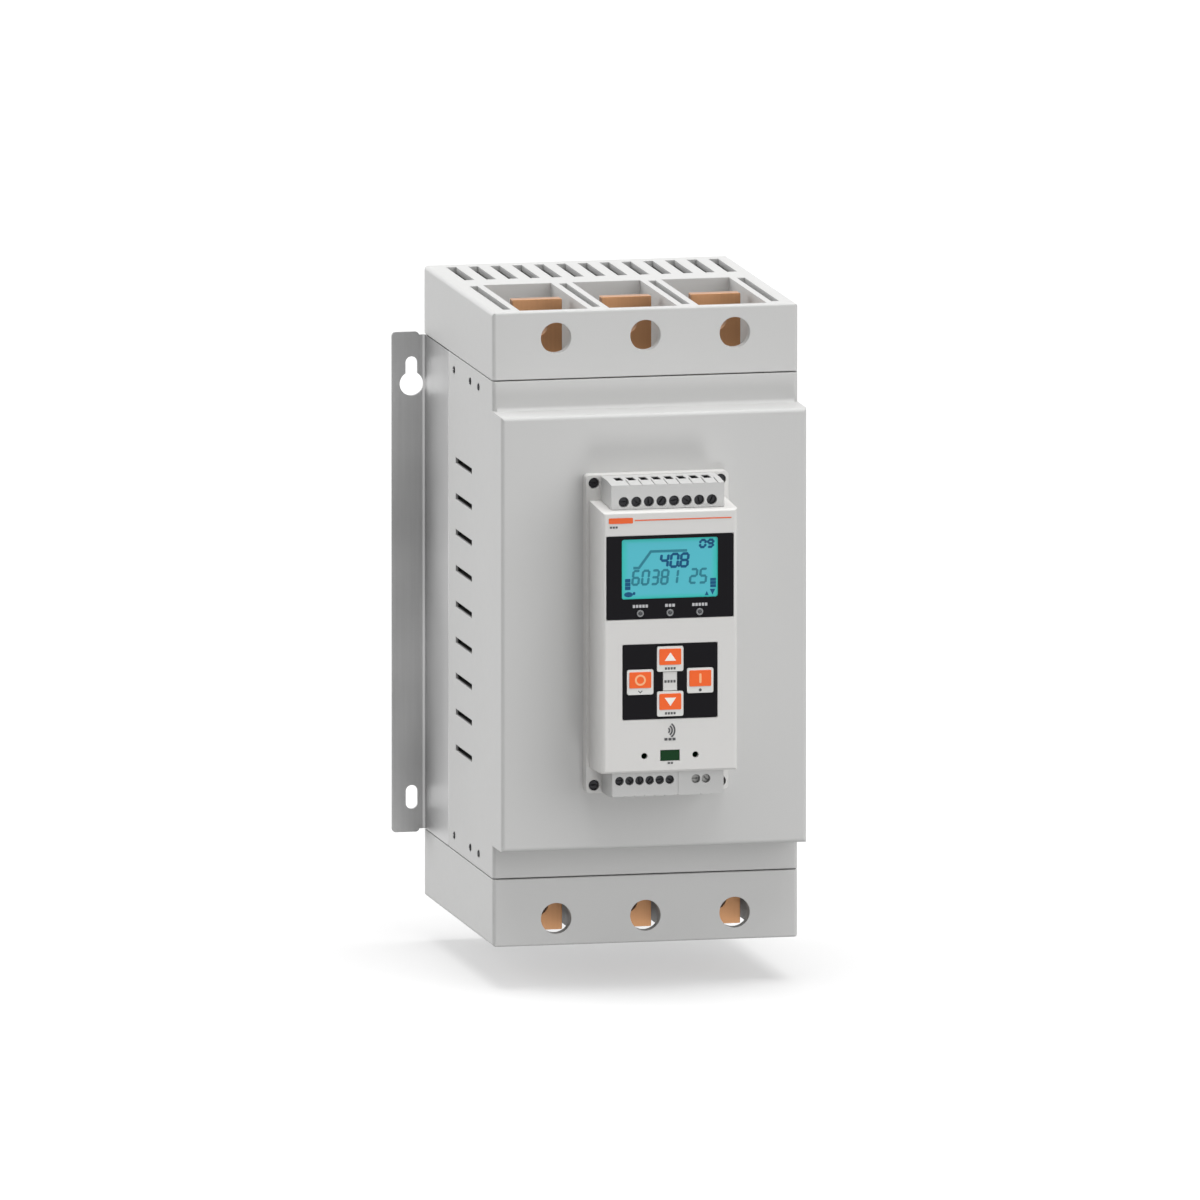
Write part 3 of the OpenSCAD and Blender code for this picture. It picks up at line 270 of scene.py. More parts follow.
# %% Floor, world and lamps
FLOOR_DROP = 22 * MM
FLOOR_SIDE = 60.0
SKY_LIGHT = 0.37
FLOOR_SEEN = 0.46
FLOOR_GLOW = 0.50
FLOOR_BOUNCE = 0.24
LAMPS = {
    "key": {"towards": (0.60, -0.75, 0.30), "light": 0.30, "spread": 48},
    "fill": {"towards": (-0.75, 0.60, 0.28), "light": 0.50, "spread": 50},
    "table": {"towards": (0.14, -0.80, -0.46), "light": 0.20, "spread": 18},
    "top": {"towards": (0.05, -0.10, 1.00), "light": 0.80, "spread": 50},
}


def grey_by_ray(tree, bounced, seen):
    """One grey in bounced light, another for the camera, mirror and glass rays that show the surface."""
    path = tree.nodes.new("ShaderNodeLightPath").outputs
    mirrored = sum_up(tree, "MAXIMUM", path["Is Glossy Ray"], path["Is Transmission Ray"])
    share = sum_up(tree, "MAXIMUM", path["Is Camera Ray"], mirrored)
    return blend_colours(tree, share, (*[bounced] * 3, 1.0), (*[seen] * 3, 1.0))


world = bpy.data.worlds.new("studio")
world.use_nodes = True
bpy.context.scene.world = world
sky = world.node_tree.nodes["Background"]
world.node_tree.links.new(grey_by_ray(world.node_tree, SKY_LIGHT, 1.0), sky.inputs["Color"])

table_top, tree, opaque = new_finish("studio_floor")
fill_inputs(tree, opaque, {
    "Base Color": grey_by_ray(tree, FLOOR_BOUNCE, FLOOR_SEEN),
    "Emission Color": grey_by_ray(tree, 0.0, FLOOR_GLOW),
    "Emission Strength": 1.0, "Roughness": 1.0, "Specular IOR Level": 0.0,
})
clear = tree.nodes.new("ShaderNodeBsdfTransparent")
from_below = tree.nodes.new("ShaderNodeNewGeometry").outputs["Backfacing"]
to_lamp = tree.nodes.new("ShaderNodeLightPath").outputs["Is Shadow Ray"]
let_through = sum_up(tree, "MAXIMUM", from_below, to_lamp)
one_way = add_node(tree, "MixShader", {0: let_through, 1: opaque.outputs[0], 2: clear.outputs[0]})
tree.links.new(one_way.outputs[0], tree.nodes["Material Output"].inputs["Surface"])

corner = np.array([[-1, -1], [1, -1], [1, 1], [-1, 1]]) * FLOOR_SIDE / 2
floor_mesh = bpy.data.meshes.new("floor")
floor_mesh.from_pydata(np.column_stack([corner, np.full(4, -FLOOR_DROP)]), [], [[0, 1, 2, 3]])
floor_mesh.materials.append(table_top)
floor = bpy.data.objects.new("floor", floor_mesh)
bpy.context.scene.collection.objects.link(floor)

for name, lamp in LAMPS.items():
    sun = bpy.data.lights.new(name, "SUN")
    sun.energy = lamp["light"] * math.pi
    sun.angle = math.radians(lamp["spread"])
    holder = bpy.data.objects.new(name, sun)
    holder.rotation_euler = Vector(lamp["towards"]).to_track_quat("Z", "Y").to_euler()
    bpy.context.scene.collection.objects.link(holder)
bpy.context.scene.view_settings.view_transform = "Standard"
print("studio:", len(LAMPS), "suns over a floor", f"{FLOOR_DROP / MM:.0f} mm below the unit")

# %% [markdown]
# ## Shared effect: soft edges
# No moulded or folded edge is perfectly sharp: a narrow rounding catches the light. Modelling each one
# would take thousands of faces. The Bevel node bends the normal near edges instead, and how far it bends
# the normal also gives a mask that finds the edges; the finishes use it for a painted highlight there.

# %% Soft edges
EDGE_TURN = 0.12
BEVEL_SAMPLES = 6
soft_edges, given, result = start_group(
    "soft edges", {"Radius": "value"}, {"Normal": "vector", "Edge": "value"}
)
rounded = add_node(soft_edges, "Bevel", {"Radius": given["Radius"]}, samples=BEVEL_SAMPLES).outputs[0]
flat = soft_edges.nodes.new("ShaderNodeNewGeometry").outputs["Normal"]
alike = add_node(soft_edges, "VectorMath", {0: rounded, 1: flat}, operation="DOT_PRODUCT")
edge = rescale(soft_edges, alike.outputs["Value"], 1.0 - EDGE_TURN, 1.0, 1.0, 0.0)
fill_inputs(soft_edges, result, {"Normal": rounded, "Edge": edge})
print("group:", soft_edges.name)

# %% [markdown]
# ## Shared effect: moulded grain
# Injection-moulded covers have the fine matt grain of their etched mould and a breath of unevenness over
# a hand's width. Three noises do this: a fine one for the bump, a middle one for the gloss, and a broad
# one for the colour. The soft-edge mask also makes the edges a shade lighter: a painted highlight.

# %% Moulded grain
SURFACE = {"Colour": "colour", "Roughness": "value", "Normal": "vector"}
BROAD_PATCH = 1 / 0.06
GLOSS_PATCH = 1 / 0.004
GLOSS_SWAY = 0.12
PAINTED_EDGE_HIGHLIGHT = 0.05
moulded_grain, given, result = start_group(
    "moulded grain",
    {"Colour": "colour", "Mottle": "value", "Gloss": "value", "Grain": "value", "Depth": "value",
     "Edge": "value", "Normal": "vector"},
    SURFACE,
)
place = object_place(moulded_grain)
fine = noise(moulded_grain, place, given["Grain"], 3.0)
patch = noise(moulded_grain, place, GLOSS_PATCH, 2.0)
broad = noise(moulded_grain, place, BROAD_PATCH, 1.0)
# The edges' colour is lifted a little: a painted highlight.
painted_highlight = sum_up(moulded_grain, "MULTIPLY_ADD", given["Edge"], PAINTED_EDGE_HIGHLIGHT, 1.0)
factor = sway_about(moulded_grain, broad, given["Mottle"], painted_highlight)
fill_inputs(moulded_grain, result, {
    "Colour": brighten(moulded_grain, given["Colour"], factor),
    "Roughness": sway_about(moulded_grain, patch, GLOSS_SWAY, given["Gloss"]),
    "Normal": raise_bumps(moulded_grain, fine, given["Depth"], Normal=given["Normal"]),
})
print("group:", moulded_grain.name)

# %% [markdown]
# ## Shared effect: rolled streaks
# Sheet, bar and extrusion carry fine lines along the way they were rolled or drawn, and faint clouds a
# few centimetres wide where the rolls pressed unevenly. Noise stretched along one axis gives the lines;
# they sway the colour, the roughness and, very slightly, the surface. A broad noise gives the clouds, in
# the colour alone.

# %% Rolled streaks
PAINTED_METAL_EDGE_HIGHLIGHT = 0.08
CLOUD_PATCH = 1 / 0.055
CLOUD_SWAY = 0.5
STREAK_GLOSS = 0.5
rolled_streaks, given, result = start_group(
    "rolled streaks",
    {"Colour": "colour", "Contrast": "value", "Gloss": "value", "Stretch": "vector", "Depth": "value",
     "Edge": "value", "Normal": "vector"},
    SURFACE,
)
place = object_place(rolled_streaks)
stretched = add_node(rolled_streaks, "Mapping", {"Vector": place, "Scale": given["Stretch"]}).outputs[0]
lines = noise(rolled_streaks, stretched, 1.0, 5.0)
cloud = noise(rolled_streaks, place, CLOUD_PATCH, 1.0)
# The edges' colour is lifted a little: a painted highlight.
painted_highlight = sum_up(rolled_streaks, "MULTIPLY_ADD", given["Edge"], PAINTED_METAL_EDGE_HIGHLIGHT, 1.0)
streaked = sway_about(rolled_streaks, lines, given["Contrast"], painted_highlight)
gloss_sway = sum_up(rolled_streaks, "MULTIPLY", given["Contrast"], STREAK_GLOSS)
fill_inputs(rolled_streaks, result, {
    "Colour": brighten(
        rolled_streaks, given["Colour"], sway_about(rolled_streaks, cloud, CLOUD_SWAY, streaked)
    ),
    "Roughness": sway_about(rolled_streaks, lines, gloss_sway, given["Gloss"]),
    "Normal": raise_bumps(rolled_streaks, lines, given["Depth"], Normal=given["Normal"]),
})
print("group:", rolled_streaks.name)

# %% [markdown]
# ## Plastics
# Most of the unit is plastic, and most of that is light grey. One recipe serves all of it: edges, then
# grain, then the shader. Only colour, gloss, shine, grain and edge width differ from piece to piece, so
# each finish is one entry of a table, under the name of the material slot that it fills.

# %% Moulded plastics


def coat(tree, shader, effect, edge_mm, inputs):
    """Soft edges under a shared effect, linked to the shader's colour, roughness and normal."""
    edges = place_group(tree, soft_edges, {"Radius": edge_mm * MM})
    surface = place_group(tree, effect, {**inputs, "Edge": edges["Edge"], "Normal": edges["Normal"]})
    fill_inputs(tree, shader, {
        "Base Color": surface["Colour"], "Roughness": surface["Roughness"], "Normal": surface["Normal"],
    })


def moulded_plastic(
    name, colour, gloss=0.5, grain_mm=0.4, depth_mm=0.012, edge_mm=0.5, mottle=0.03, shine=0.4
):
    """A moulded plastic: soft edges under etched grain. The colour is one for the whole piece, or a
    function that makes it from nodes of the material's tree."""
    material, tree, shader = new_finish(name)
    coat(tree, shader, moulded_grain, edge_mm, {
        "Colour": colour(tree) if callable(colour) else colour,
        "Mottle": mottle, "Gloss": gloss, "Grain": 1 / (grain_mm * MM), "Depth": depth_mm * MM,
    })
    fill_inputs(tree, shader, {"Specular IOR Level": shine})
    return material


finishes = {
    "terminal_cover": moulded_plastic("cover_grey", srgb(201, 201, 200), edge_mm=0.6),
    "control_housing": moulded_plastic("case_grey", srgb(216, 215, 213), gloss=0.45),
    "terminal_plastic": moulded_plastic("terminal_grey", srgb(198, 198, 197), gloss=0.42, edge_mm=0.25),
    "bezel_black": moulded_plastic(
        "bezel_black", srgb(22, 21, 24), depth_mm=0.006, edge_mm=0.15, shine=0.06
    ),
    "fan_plastic": moulded_plastic("fan_black", srgb(34, 34, 36)),
    "fan_rotor": moulded_plastic("rotor_black", srgb(28, 28, 30), gloss=0.4),
    "module_plastic": moulded_plastic("module_ivory", srgb(222, 216, 198)),
    "relay_plastic": moulded_plastic("relay_slate", srgb(84, 90, 98), gloss=0.4),
    "transformer_plastic": moulded_plastic("potting_blue", srgb(46, 54, 84), gloss=0.35),
    "key_rubber": moulded_plastic("mat_rubber", srgb(120, 120, 118), gloss=0.75, shine=0.2),
    "port_green": moulded_plastic(
        "port_green", srgb(22, 60, 32), gloss=0.3, depth_mm=0.002, edge_mm=0.2, shine=0.08
    ),
}
print("plastics:", ", ".join(finishes))

# %% [markdown]
# ## Painted shade in the side vents
# The housing is the same grey plastic, and the fans draw air in through its side slots. The walls inside
# the slots are painted dark as shade, while the outer lips stay light. A painted texture could show this,
# but the place of the shade is known: deeper in than the lip, and between the two ends of the slots. So a
# mask from the point's own x and y blends the grey into painted shade.

# %% Painted shade inside the slots
VENT_LIP = 0.9 * MM
VENT_FADE = 0.5 * MM
VENT_FRONT = -2.9 * MM
VENT_BACK = 35.9 * MM
cover_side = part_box("main_cover")[1].x


def grey_with_painted_vent_shade(tree):
    """The housing's grey; painted shade where cover_side - |x| passes the lip and y lies between the ends.
    """
    at = object_axes(tree)
    depth = sum_up(tree, "SUBTRACT", cover_side, sum_up(tree, "ABSOLUTE", at["X"]))
    inside = rescale(tree, depth, VENT_LIP, VENT_LIP + VENT_FADE, 0.0, 1.0)
    behind_front = sum_up(tree, "GREATER_THAN", at["Y"], VENT_FRONT)
    before_back = sum_up(tree, "LESS_THAN", at["Y"], VENT_BACK)
    # The mask marks where the slot walls are painted dark as shade.
    painted_shade = sum_up(tree, "MULTIPLY", inside, sum_up(tree, "MULTIPLY", behind_front, before_back))
    return blend_colours(tree, painted_shade, srgb(200, 200, 199), srgb(34, 34, 33))


finishes["housing"] = moulded_plastic("housing_grey", grey_with_painted_vent_shade, edge_mm=0.7)
# The dark blend in the slots is painted shade.
print(f"dust: deeper than {VENT_LIP / MM:.1f} mm in the side slots")

# %% [markdown]
# ## Metals
# The brackets are plated sheet steel, the heat sink is extruded aluminium, and the bus bars are rolled
# copper. All three are drawn along the height of the unit, so their streaks run upright; turned brass
# and screws carry rings too small to see, and a short streak stands in for them.

# %% Rolled and turned metals
UPRIGHT = (900.0, 900.0, 14.0)
SHORT = (600.0, 600.0, 600.0)


def drawn_metal(name, colour, gloss, stretch=UPRIGHT, contrast=0.16, depth_mm=0.006, edge_mm=0.3):
    """A bare or plated metal: soft edges under streaks."""
    material, tree, shader = new_finish(name)
    coat(tree, shader, rolled_streaks, edge_mm, {
        "Colour": colour, "Contrast": contrast, "Gloss": gloss, "Stretch": stretch,
        "Depth": depth_mm * MM,
    })
    fill_inputs(tree, shader, {"Metallic": 1.0})
    return material


metals = {
    "bracket_steel": drawn_metal("plated_steel", srgb(168, 168, 168), 0.36, edge_mm=0.08),
    "sink_aluminium": drawn_metal("extruded_aluminium", srgb(176, 177, 180), 0.45, contrast=0.2),
    "copper": drawn_metal("rolled_copper", srgb(190, 143, 105), 0.36),
    "brass": drawn_metal("turned_brass", srgb(214, 182, 110), 0.3, SHORT),
    "screw_steel": drawn_metal("screw_steel", srgb(150, 152, 155), 0.35, SHORT, edge_mm=0.15),
}
finishes.update(metals)
print("metals:", ", ".join(metals))

# %% [markdown]
# ## Dark fasteners
# The screws that show on the outside sit in shade at the bottom of their wells, and their dark finish
# is painted shade, so they read as dark dots. The pair of screws in the small lower block is bright
# instead. A passivated coat scatters light as paint does, so the recipe for plastic suits it better than
# the one for bare metal.

# %% Screws darkened with painted shade
shade_darkened = drawn_metal("shade_darkened_steel", srgb(52, 52, 54), 0.5, SHORT, edge_mm=0.15)
bright_screw = moulded_plastic("passivated_steel", srgb(160, 160, 158), gloss=0.35, edge_mm=0.15)
print("screws:", shade_darkened.name, "and", bright_screw.name)

# %% [markdown]
# ## The display
# A liquid crystal panel with a light behind it glows teal, a little greener and brighter towards its
# rim, where the light enters. The glow is part of the material: the same colour feeds the base and a
# weak emission. How near a point is to the rim comes from its place on the panel, measured from the
# panel's own box.

# %% Display glass
RIM_START = 0.84
CELL_PITCH = 0.55 * MM
CELL_GAP = 0.12
GAP_SHADE = 0.94
lcd_lo, lcd_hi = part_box("lcd_panel")
lcd_middle, lcd_half = (lcd_lo + lcd_hi) / 2, (lcd_hi - lcd_lo) / 2


def display_glass():
    """Teal glass, lighter at the rim, over a faint raster of cells."""
    material, tree, shader = new_finish("display_teal")
    centred = add_node(tree, "Mapping", {"Vector": object_place(tree), "Location": -lcd_middle})
    at = add_node(tree, "SeparateXYZ", {0: centred.outputs[0]}).outputs
    across = sum_up(tree, "DIVIDE", sum_up(tree, "ABSOLUTE", at["X"]), lcd_half.x)
    upward = sum_up(tree, "DIVIDE", sum_up(tree, "ABSOLUTE", at["Z"]), lcd_half.z)
    rim = rescale(tree, sum_up(tree, "MAXIMUM", across, upward), RIM_START, 1.0, 0.0, 1.0)
    cells = [
        sum_up(tree, "PINGPONG", sum_up(tree, "DIVIDE", at[axis], CELL_PITCH), 0.5) for axis in ("X", "Z")
    ]
    raster = rescale(tree, sum_up(tree, "MINIMUM", *cells), 0.0, CELL_GAP, GAP_SHADE, 1.0)
    glow = blend_colours(tree, rim, srgb(75, 172, 186), srgb(40, 180, 168))
    tone = brighten(tree, glow, raster)
    fill_inputs(tree, shader, {
        "Base Color": tone, "Emission Color": tone, "Emission Strength": 0.25, "Roughness": 0.2,
        "Specular IOR Level": 0.3,
    })
    return material


finishes["display_glass"] = display_glass()
print(f"display: {2 * lcd_half.x / MM:.1f} x {2 * lcd_half.z / MM:.1f} mm")

# %% [markdown]
# ## The keys
# A key is moulded in two shots: a light grey cap, and an orange pad that stands a little proud of it.
# One material does both, because depth alone tells them apart: whatever lies in front of the cap's face
# is pad.

# %% Two-shot keys
PAD_HEIGHT = 0.3 * MM
PAD_MARGIN = 0.03 * MM
pad_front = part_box("key_up")[0].y


def grey_and_orange(tree):
    """Grey behind the foot of the pad, orange in front of it."""
    on_pad = sum_up(tree, "LESS_THAN", object_axes(tree)["Y"], pad_front + PAD_HEIGHT - PAD_MARGIN)
    return blend_colours(tree, on_pad, srgb(224, 224, 221), srgb(246, 100, 32))


finishes["key_plastic"] = moulded_plastic(
    "key_grey_and_orange", grey_and_orange, grain_mm=0.3, depth_mm=0.008, edge_mm=0.3, shine=0.35
)
print(f"keys: pad face at y {pad_front / MM:.2f} mm")

# %% [markdown]
# ## Boards and ribbon
# The boards inside are green solder mask over copper tracks, and the flat cable is a row of grey wires
# with one red edge. Little of them shows through the vents, but each still has its own pattern: tracks
# are two sets of thin bands, and the wires are bands across the cable's width.

# %% Boards and ribbon
TRACK_PITCH_X = 5.08 * MM
TRACK_PITCH_Z = 7.62 * MM
TRACK_EDGE_X = (0.36, 0.40)
TRACK_EDGE_Z = (0.40, 0.43)
TRACK_HEIGHT = 0.05 * MM
WIRE_PITCH = 1.27 * MM
WIRE_HEIGHT = 0.5 * MM


def bands(tree, axis, pitch):
    """A value from 0 to 0.5 and back for each pitch along one axis."""
    return sum_up(tree, "PINGPONG", sum_up(tree, "DIVIDE", object_axes(tree)[axis], pitch), 0.5)


def green_board():
    """Solder mask, a shade lighter over tracks that run both ways."""
    material, tree, shader = new_finish("board_green")
    upright = rescale(tree, bands(tree, "X", TRACK_PITCH_X), *TRACK_EDGE_X, 0.0, 1.0)
    level = rescale(tree, bands(tree, "Z", TRACK_PITCH_Z), *TRACK_EDGE_Z, 0.0, 1.0)
    tracks = sum_up(tree, "MAXIMUM", upright, level)
    fill_inputs(tree, shader, {
        "Base Color": blend_colours(tree, tracks, srgb(16, 92, 52), srgb(34, 124, 70)),
        "Normal": raise_bumps(tree, tracks, TRACK_HEIGHT),
        "Roughness": 0.3,
    })
    return material


def ribbon_wires():
    """Grey insulation ribbed wire by wire, with the first wire red."""
    material, tree, shader = new_finish("ribbon_grey")
    first_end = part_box("ribbon_cable")[0].x + WIRE_PITCH
    first = sum_up(tree, "LESS_THAN", object_axes(tree)["X"], first_end)
    fill_inputs(tree, shader, {
        "Base Color": blend_colours(tree, first, srgb(186, 186, 184), srgb(190, 40, 36)),
        "Normal": raise_bumps(tree, bands(tree, "X", WIRE_PITCH), WIRE_HEIGHT),
        "Roughness": 0.5,
    })
    return material


finishes["board"] = green_board()
finishes["ribbon"] = ribbon_wires()
finishes["lamp_clear"] = moulded_plastic("lamp_grey", srgb(120, 122, 124), gloss=0.2, edge_mm=0.1)
print("inside:", finishes["board"].name, finishes["ribbon"].name)

# %% [markdown]
# ## Print and raised symbols
# The control unit carries a little print: a coloured bar, a thin line, and rows of small blocks as
# labels beside lamps and keys. Ink is a film of a few hundredths of a millimetre, so every mark is a
# very low solid that stands on its face. An image texture could hold all of them at once, but solids
# stay sharp at any distance.

# %% Tablets and strokes on a front face
INK = 0.06 * MM
SINK = 0.02 * MM
LABEL_GAP = 0.25


def face_points(flat, depth):
    """Points from rings of x and z, with one depth in y for each ring or each of its points."""
    return np.stack([flat[..., 0], np.broadcast_to(depth, flat.shape[:2]), flat[..., 1]], axis=-1)


def tablet(outline, face_y, height=INK):
    """A low solid on a face that looks to -Y: the outline as a ring behind the face and as one in front
    of it, each drawn together to its middle to close the solid."""
    middle = np.broadcast_to(outline.mean(axis=0), outline.shape)
    depth = np.array([SINK, SINK, -height, -height])[:, None] + face_y
    return grid_part(face_points(np.stack([middle, outline, outline, middle]), depth))


def unit_rows(vectors):
    """Each row divided by its length."""
    return vectors / np.linalg.norm(vectors, axis=1, keepdims=True)


def stroke(path, width, face_y, height=INK, closed=False):
    """A flat line on a face that looks to -Y: a rectangle carried along a path in x and z. At each point
    it stands across the mean of the two directions, widened by 1 / cosine of half the turn, so that the
    mitre keeps the width. An open line is closed by drawing its end rectangles together."""
    before = np.roll(path, 1, axis=0)
    after = np.roll(path, -1, axis=0)
    if not closed:
        before[0], after[-1] = 2 * path[0] - path[1], 2 * path[-1] - path[-2]
    ahead = unit_rows(after - path)
    along = unit_rows(unit_rows(path - before) + ahead)
    half = width / 2 / np.sum(along * ahead, axis=1, keepdims=True)
    across = np.column_stack([-along[:, 1], along[:, 0]]) * half
    flat = np.stack([path + across, path - across, path - across, path + across], axis=1)
    points = face_points(flat, face_y + np.array([SINK, SINK, -height, -height]))
    if not closed:
        ends = np.repeat(points.mean(axis=1, keepdims=True), 4, axis=1)
        points = np.concatenate([ends[:1], points, ends[-1:]])
    return grid_part(points, wrap_rows=closed)


def arc(start, end, steps):
    """Points of the unit circle from one angle to another: cos a and sin a."""
    a = np.linspace(start, end, steps)
    return np.column_stack([np.cos(a), np.sin(a)])


def rounded_bar(x, z, width, height, corner=0.15, steps=5):
    """Outline of a bar about x and z, in mm: four quarter circles of the corner radius with straight
    sides between."""
    quarter = np.pi / 2
    reach = np.array([width, height]) / 2 - corner
    corners = [
        reach * sides + corner * arc(i * quarter, (i + 1) * quarter, steps)
        for i, sides in enumerate(((1, 1), (-1, 1), (-1, -1), (1, -1)))
    ]
    return (np.concatenate(corners) + (x, z)) * MM


def label_blocks(x, z, width, height, count, face_y):
    """A row of equal blocks about x and z, as a plain label, with a share of the pitch as gaps."""
    pitch = width / (count - LABEL_GAP)
    middles = x + (np.arange(count) - (count - 1) / 2) * pitch
    return [tablet(rounded_bar(m, z, pitch * (1 - LABEL_GAP), height), face_y) for m in middles]


print(f"ink stands {INK / MM:.2f} mm proud")

# %% [markdown]
# ## Inks
# Print uses the same recipe as moulded plastic, with almost no grain: white, peach and dark grey on the
# keys, light grey on the black film, dark grey on the case, and a warm orange for its bar and line.

# %% Ink colours


def ink(name, colour, gloss=0.6, shine=0.4):
    """A printed film: hardly any grain, and edges too thin to catch the light."""
    return moulded_plastic(name, colour, gloss, depth_mm=0.002, edge_mm=0.02, shine=shine)


inks = {
    "white": ink("ink_white", srgb(250, 246, 240)),
    "pale": ink("ink_pale", srgb(190, 190, 192)),
    "peach": ink("ink_peach", srgb(255, 190, 140)),
    "dark": ink("ink_dark", srgb(92, 92, 94), shine=0.1),
    "orange": ink("ink_orange", srgb(232, 96, 36), gloss=0.5),
}
print("inks:", ", ".join(inks))

# %% [markdown]
# ## What the display shows
# The display shows a running motor: the ramp that the voltage climbed, a large reading, a faint row of
# figures, two level bars and small signs in the corners. A figure is made of seven segments, each a slim
# hexagon; the whole figure leans a little, as on most such panels. The values are made up.

# %% Seven-segment figures
SEGMENT_ENDS = {
    "a": ((0, 1), (1, 1)), "b": ((1, 1), (1, 0.5)), "c": ((1, 0.5), (1, 0)), "d": ((0, 0), (1, 0)),
    "e": ((0, 0), (0, 0.5)), "f": ((0, 0.5), (0, 1)), "g": ((0, 0.5), (1, 0.5)),
}
FIGURES = {
    "0": "abcdef", "1": "bc", "2": "abged", "3": "abgcd", "4": "fgbc",
    "5": "afgcd", "6": "afgedc", "7": "abc", "8": "abcdefg", "9": "abcdfg",
}
LEAN = 0.12
TIP_SHARE = 0.04
SHOULDER_SHARE = 0.36
lcd_corner = np.array([lcd_lo.x, lcd_lo.z]) / MM
lcd_face = lcd_lo.y


def segment(start, end, pen):
    """A slim hexagon from start to end; its tips and shoulders lie shares of the pen in from the ends."""
    along = unit_rows((end - start)[None])[0]
    across = np.array([-along[1], along[0]]) * pen / 2
    tip, shoulder = along * pen * TIP_SHARE, along * pen * SHOULDER_SHARE
    return np.array([
        start + tip, start + shoulder + across, end - shoulder + across,
        end - tip, end - shoulder - across, start + shoulder - across,
    ])


def figure(sign, x, z, width, height, pen):
    """Tablets for one figure whose box starts at x and z, in mm from the panel's lower left corner."""
    parts = []
    for name in FIGURES[sign]:
        start, end = (np.array(corner) * (width, height) for corner in SEGMENT_ENDS[name])
        outline = segment(start, end, pen)
        outline[:, 0] += LEAN * outline[:, 1]
        parts.append(tablet((outline + (x, z) + lcd_corner) * MM, lcd_face))
    return parts


def figure_row(signs, x, z, pitch, width, height, pen):
    """Figures at an even pitch; a blank leaves its place free."""
    return [
        part
        for place, sign in enumerate(signs) if sign != " "
        for part in figure(sign, x + place * pitch, z, width, height, pen)
    ]


print("figures:", "".join(FIGURES))

# %% [markdown]
# ## Ramp, readings and signs
# The rest of the display is a list of places, in millimetres from the panel's lower left corner. A
# picture of the screen could be laid over the glass, but it would blur close up. So the ramp is a
# stroke, the levels are bars, and the corner signs are ovals and triangles, all of them low solids like
# the print. A bar is given by x, z, width and height, and an oval by x, z and its two half axes.

# %% Ramp, readings, levels and signs
RAMP = np.array([[6.0, 15.6], [8.9, 15.6], [14.9, 23.6], [33.2, 23.6]])
RAMP_PEN = 1.3
LOWER_ROW = dict(signs="60381 25", x=5.4, z=7.3, pitch=4.85, width=3.1, height=6.8, pen=1.2)
READING = dict(signs="408", x=19.6, z=15.7, pitch=5.05, width=3.5, height=6.3, pen=1.35)
CORNER_ROW = dict(signs="09", x=39.6, z=25.0, pitch=3.9, width=2.6, height=3.5, pen=1.25)
POINT_BAR = (29.0, 15.9, 1.0, 1.0)
LEVEL_COUNT = 3
LEFT_LEVEL = dict(x=3.2, z=5.6, pitch=1.9, width=2.7, height=1.75)
RIGHT_LEVEL = dict(x=46.3, z=5.5, pitch=1.6, width=2.9, height=1.45)
OVALS = ((3.6, 2.4, 2.2, 1.3), (6.4, 2.9, 0.7, 0.8))
TRIANGLES = (((42.1, 0.9), (44.1, 0.9), (43.1, 3.0)), ((47.4, 4.0), (44.6, 4.0), (46.0, 1.1)))
crystal_dark = ink("crystal_dark", srgb(14, 84, 126), gloss=0.3, shine=0.2)
crystal_faint = ink("crystal_faint", srgb(48, 130, 148), gloss=0.3, shine=0.2)
OVAL_STEPS = 24
round_outline = arc(0, 2 * np.pi, OVAL_STEPS + 1)[:-1]


def on_lcd(outline):
    """An outline in mm from the panel's lower left corner as a tablet on the panel."""
    return tablet((np.asarray(outline, float) + lcd_corner) * MM, lcd_face)


def lcd_bar(x, z, width, height):
    """A bar about x and z, in mm from the panel's lower left corner, as a tablet on the panel."""
    return on_lcd(rounded_bar(x, z, width, height) / MM)


faint_parts = [stroke((RAMP + lcd_corner) * MM, RAMP_PEN * MM, lcd_face)] + figure_row(**LOWER_ROW)
dark_parts = figure_row(**READING) + [lcd_bar(*POINT_BAR)] + figure_row(**CORNER_ROW)
for bar in (LEFT_LEVEL, RIGHT_LEVEL):
    heights = bar["z"] + bar["pitch"] * np.arange(LEVEL_COUNT)
    dark_parts += [lcd_bar(bar["x"], z, bar["width"], bar["height"]) for z in heights]
dark_parts += [on_lcd((x, z) + round_outline * (half_w, half_h)) for x, z, half_w, half_h in OVALS]
dark_parts += [on_lcd(corners) for corners in TRIANGLES]
make_piece("lcd_faint_signs", faint_parts, crystal_faint, "housing")
make_piece("lcd_dark_signs", dark_parts, crystal_dark, "housing")
print("display signs:", len(faint_parts), "faint and", len(dark_parts), "dark")

# %% [markdown]
# ## Marks on the case and the black films
# On the case, an orange bar and a thin line run above the display, a few nested arcs mark the place
# where a phone reads the unit, and small blocks label the port. On the black film, pale blocks name the
# three lamps. A bar is given by x, z, width, height and corner radius, and a label by x, z, width, height
# and the count of its blocks, in millimetres in the frame. Text objects would need a font, and blocks of
# this size read as labels without one.

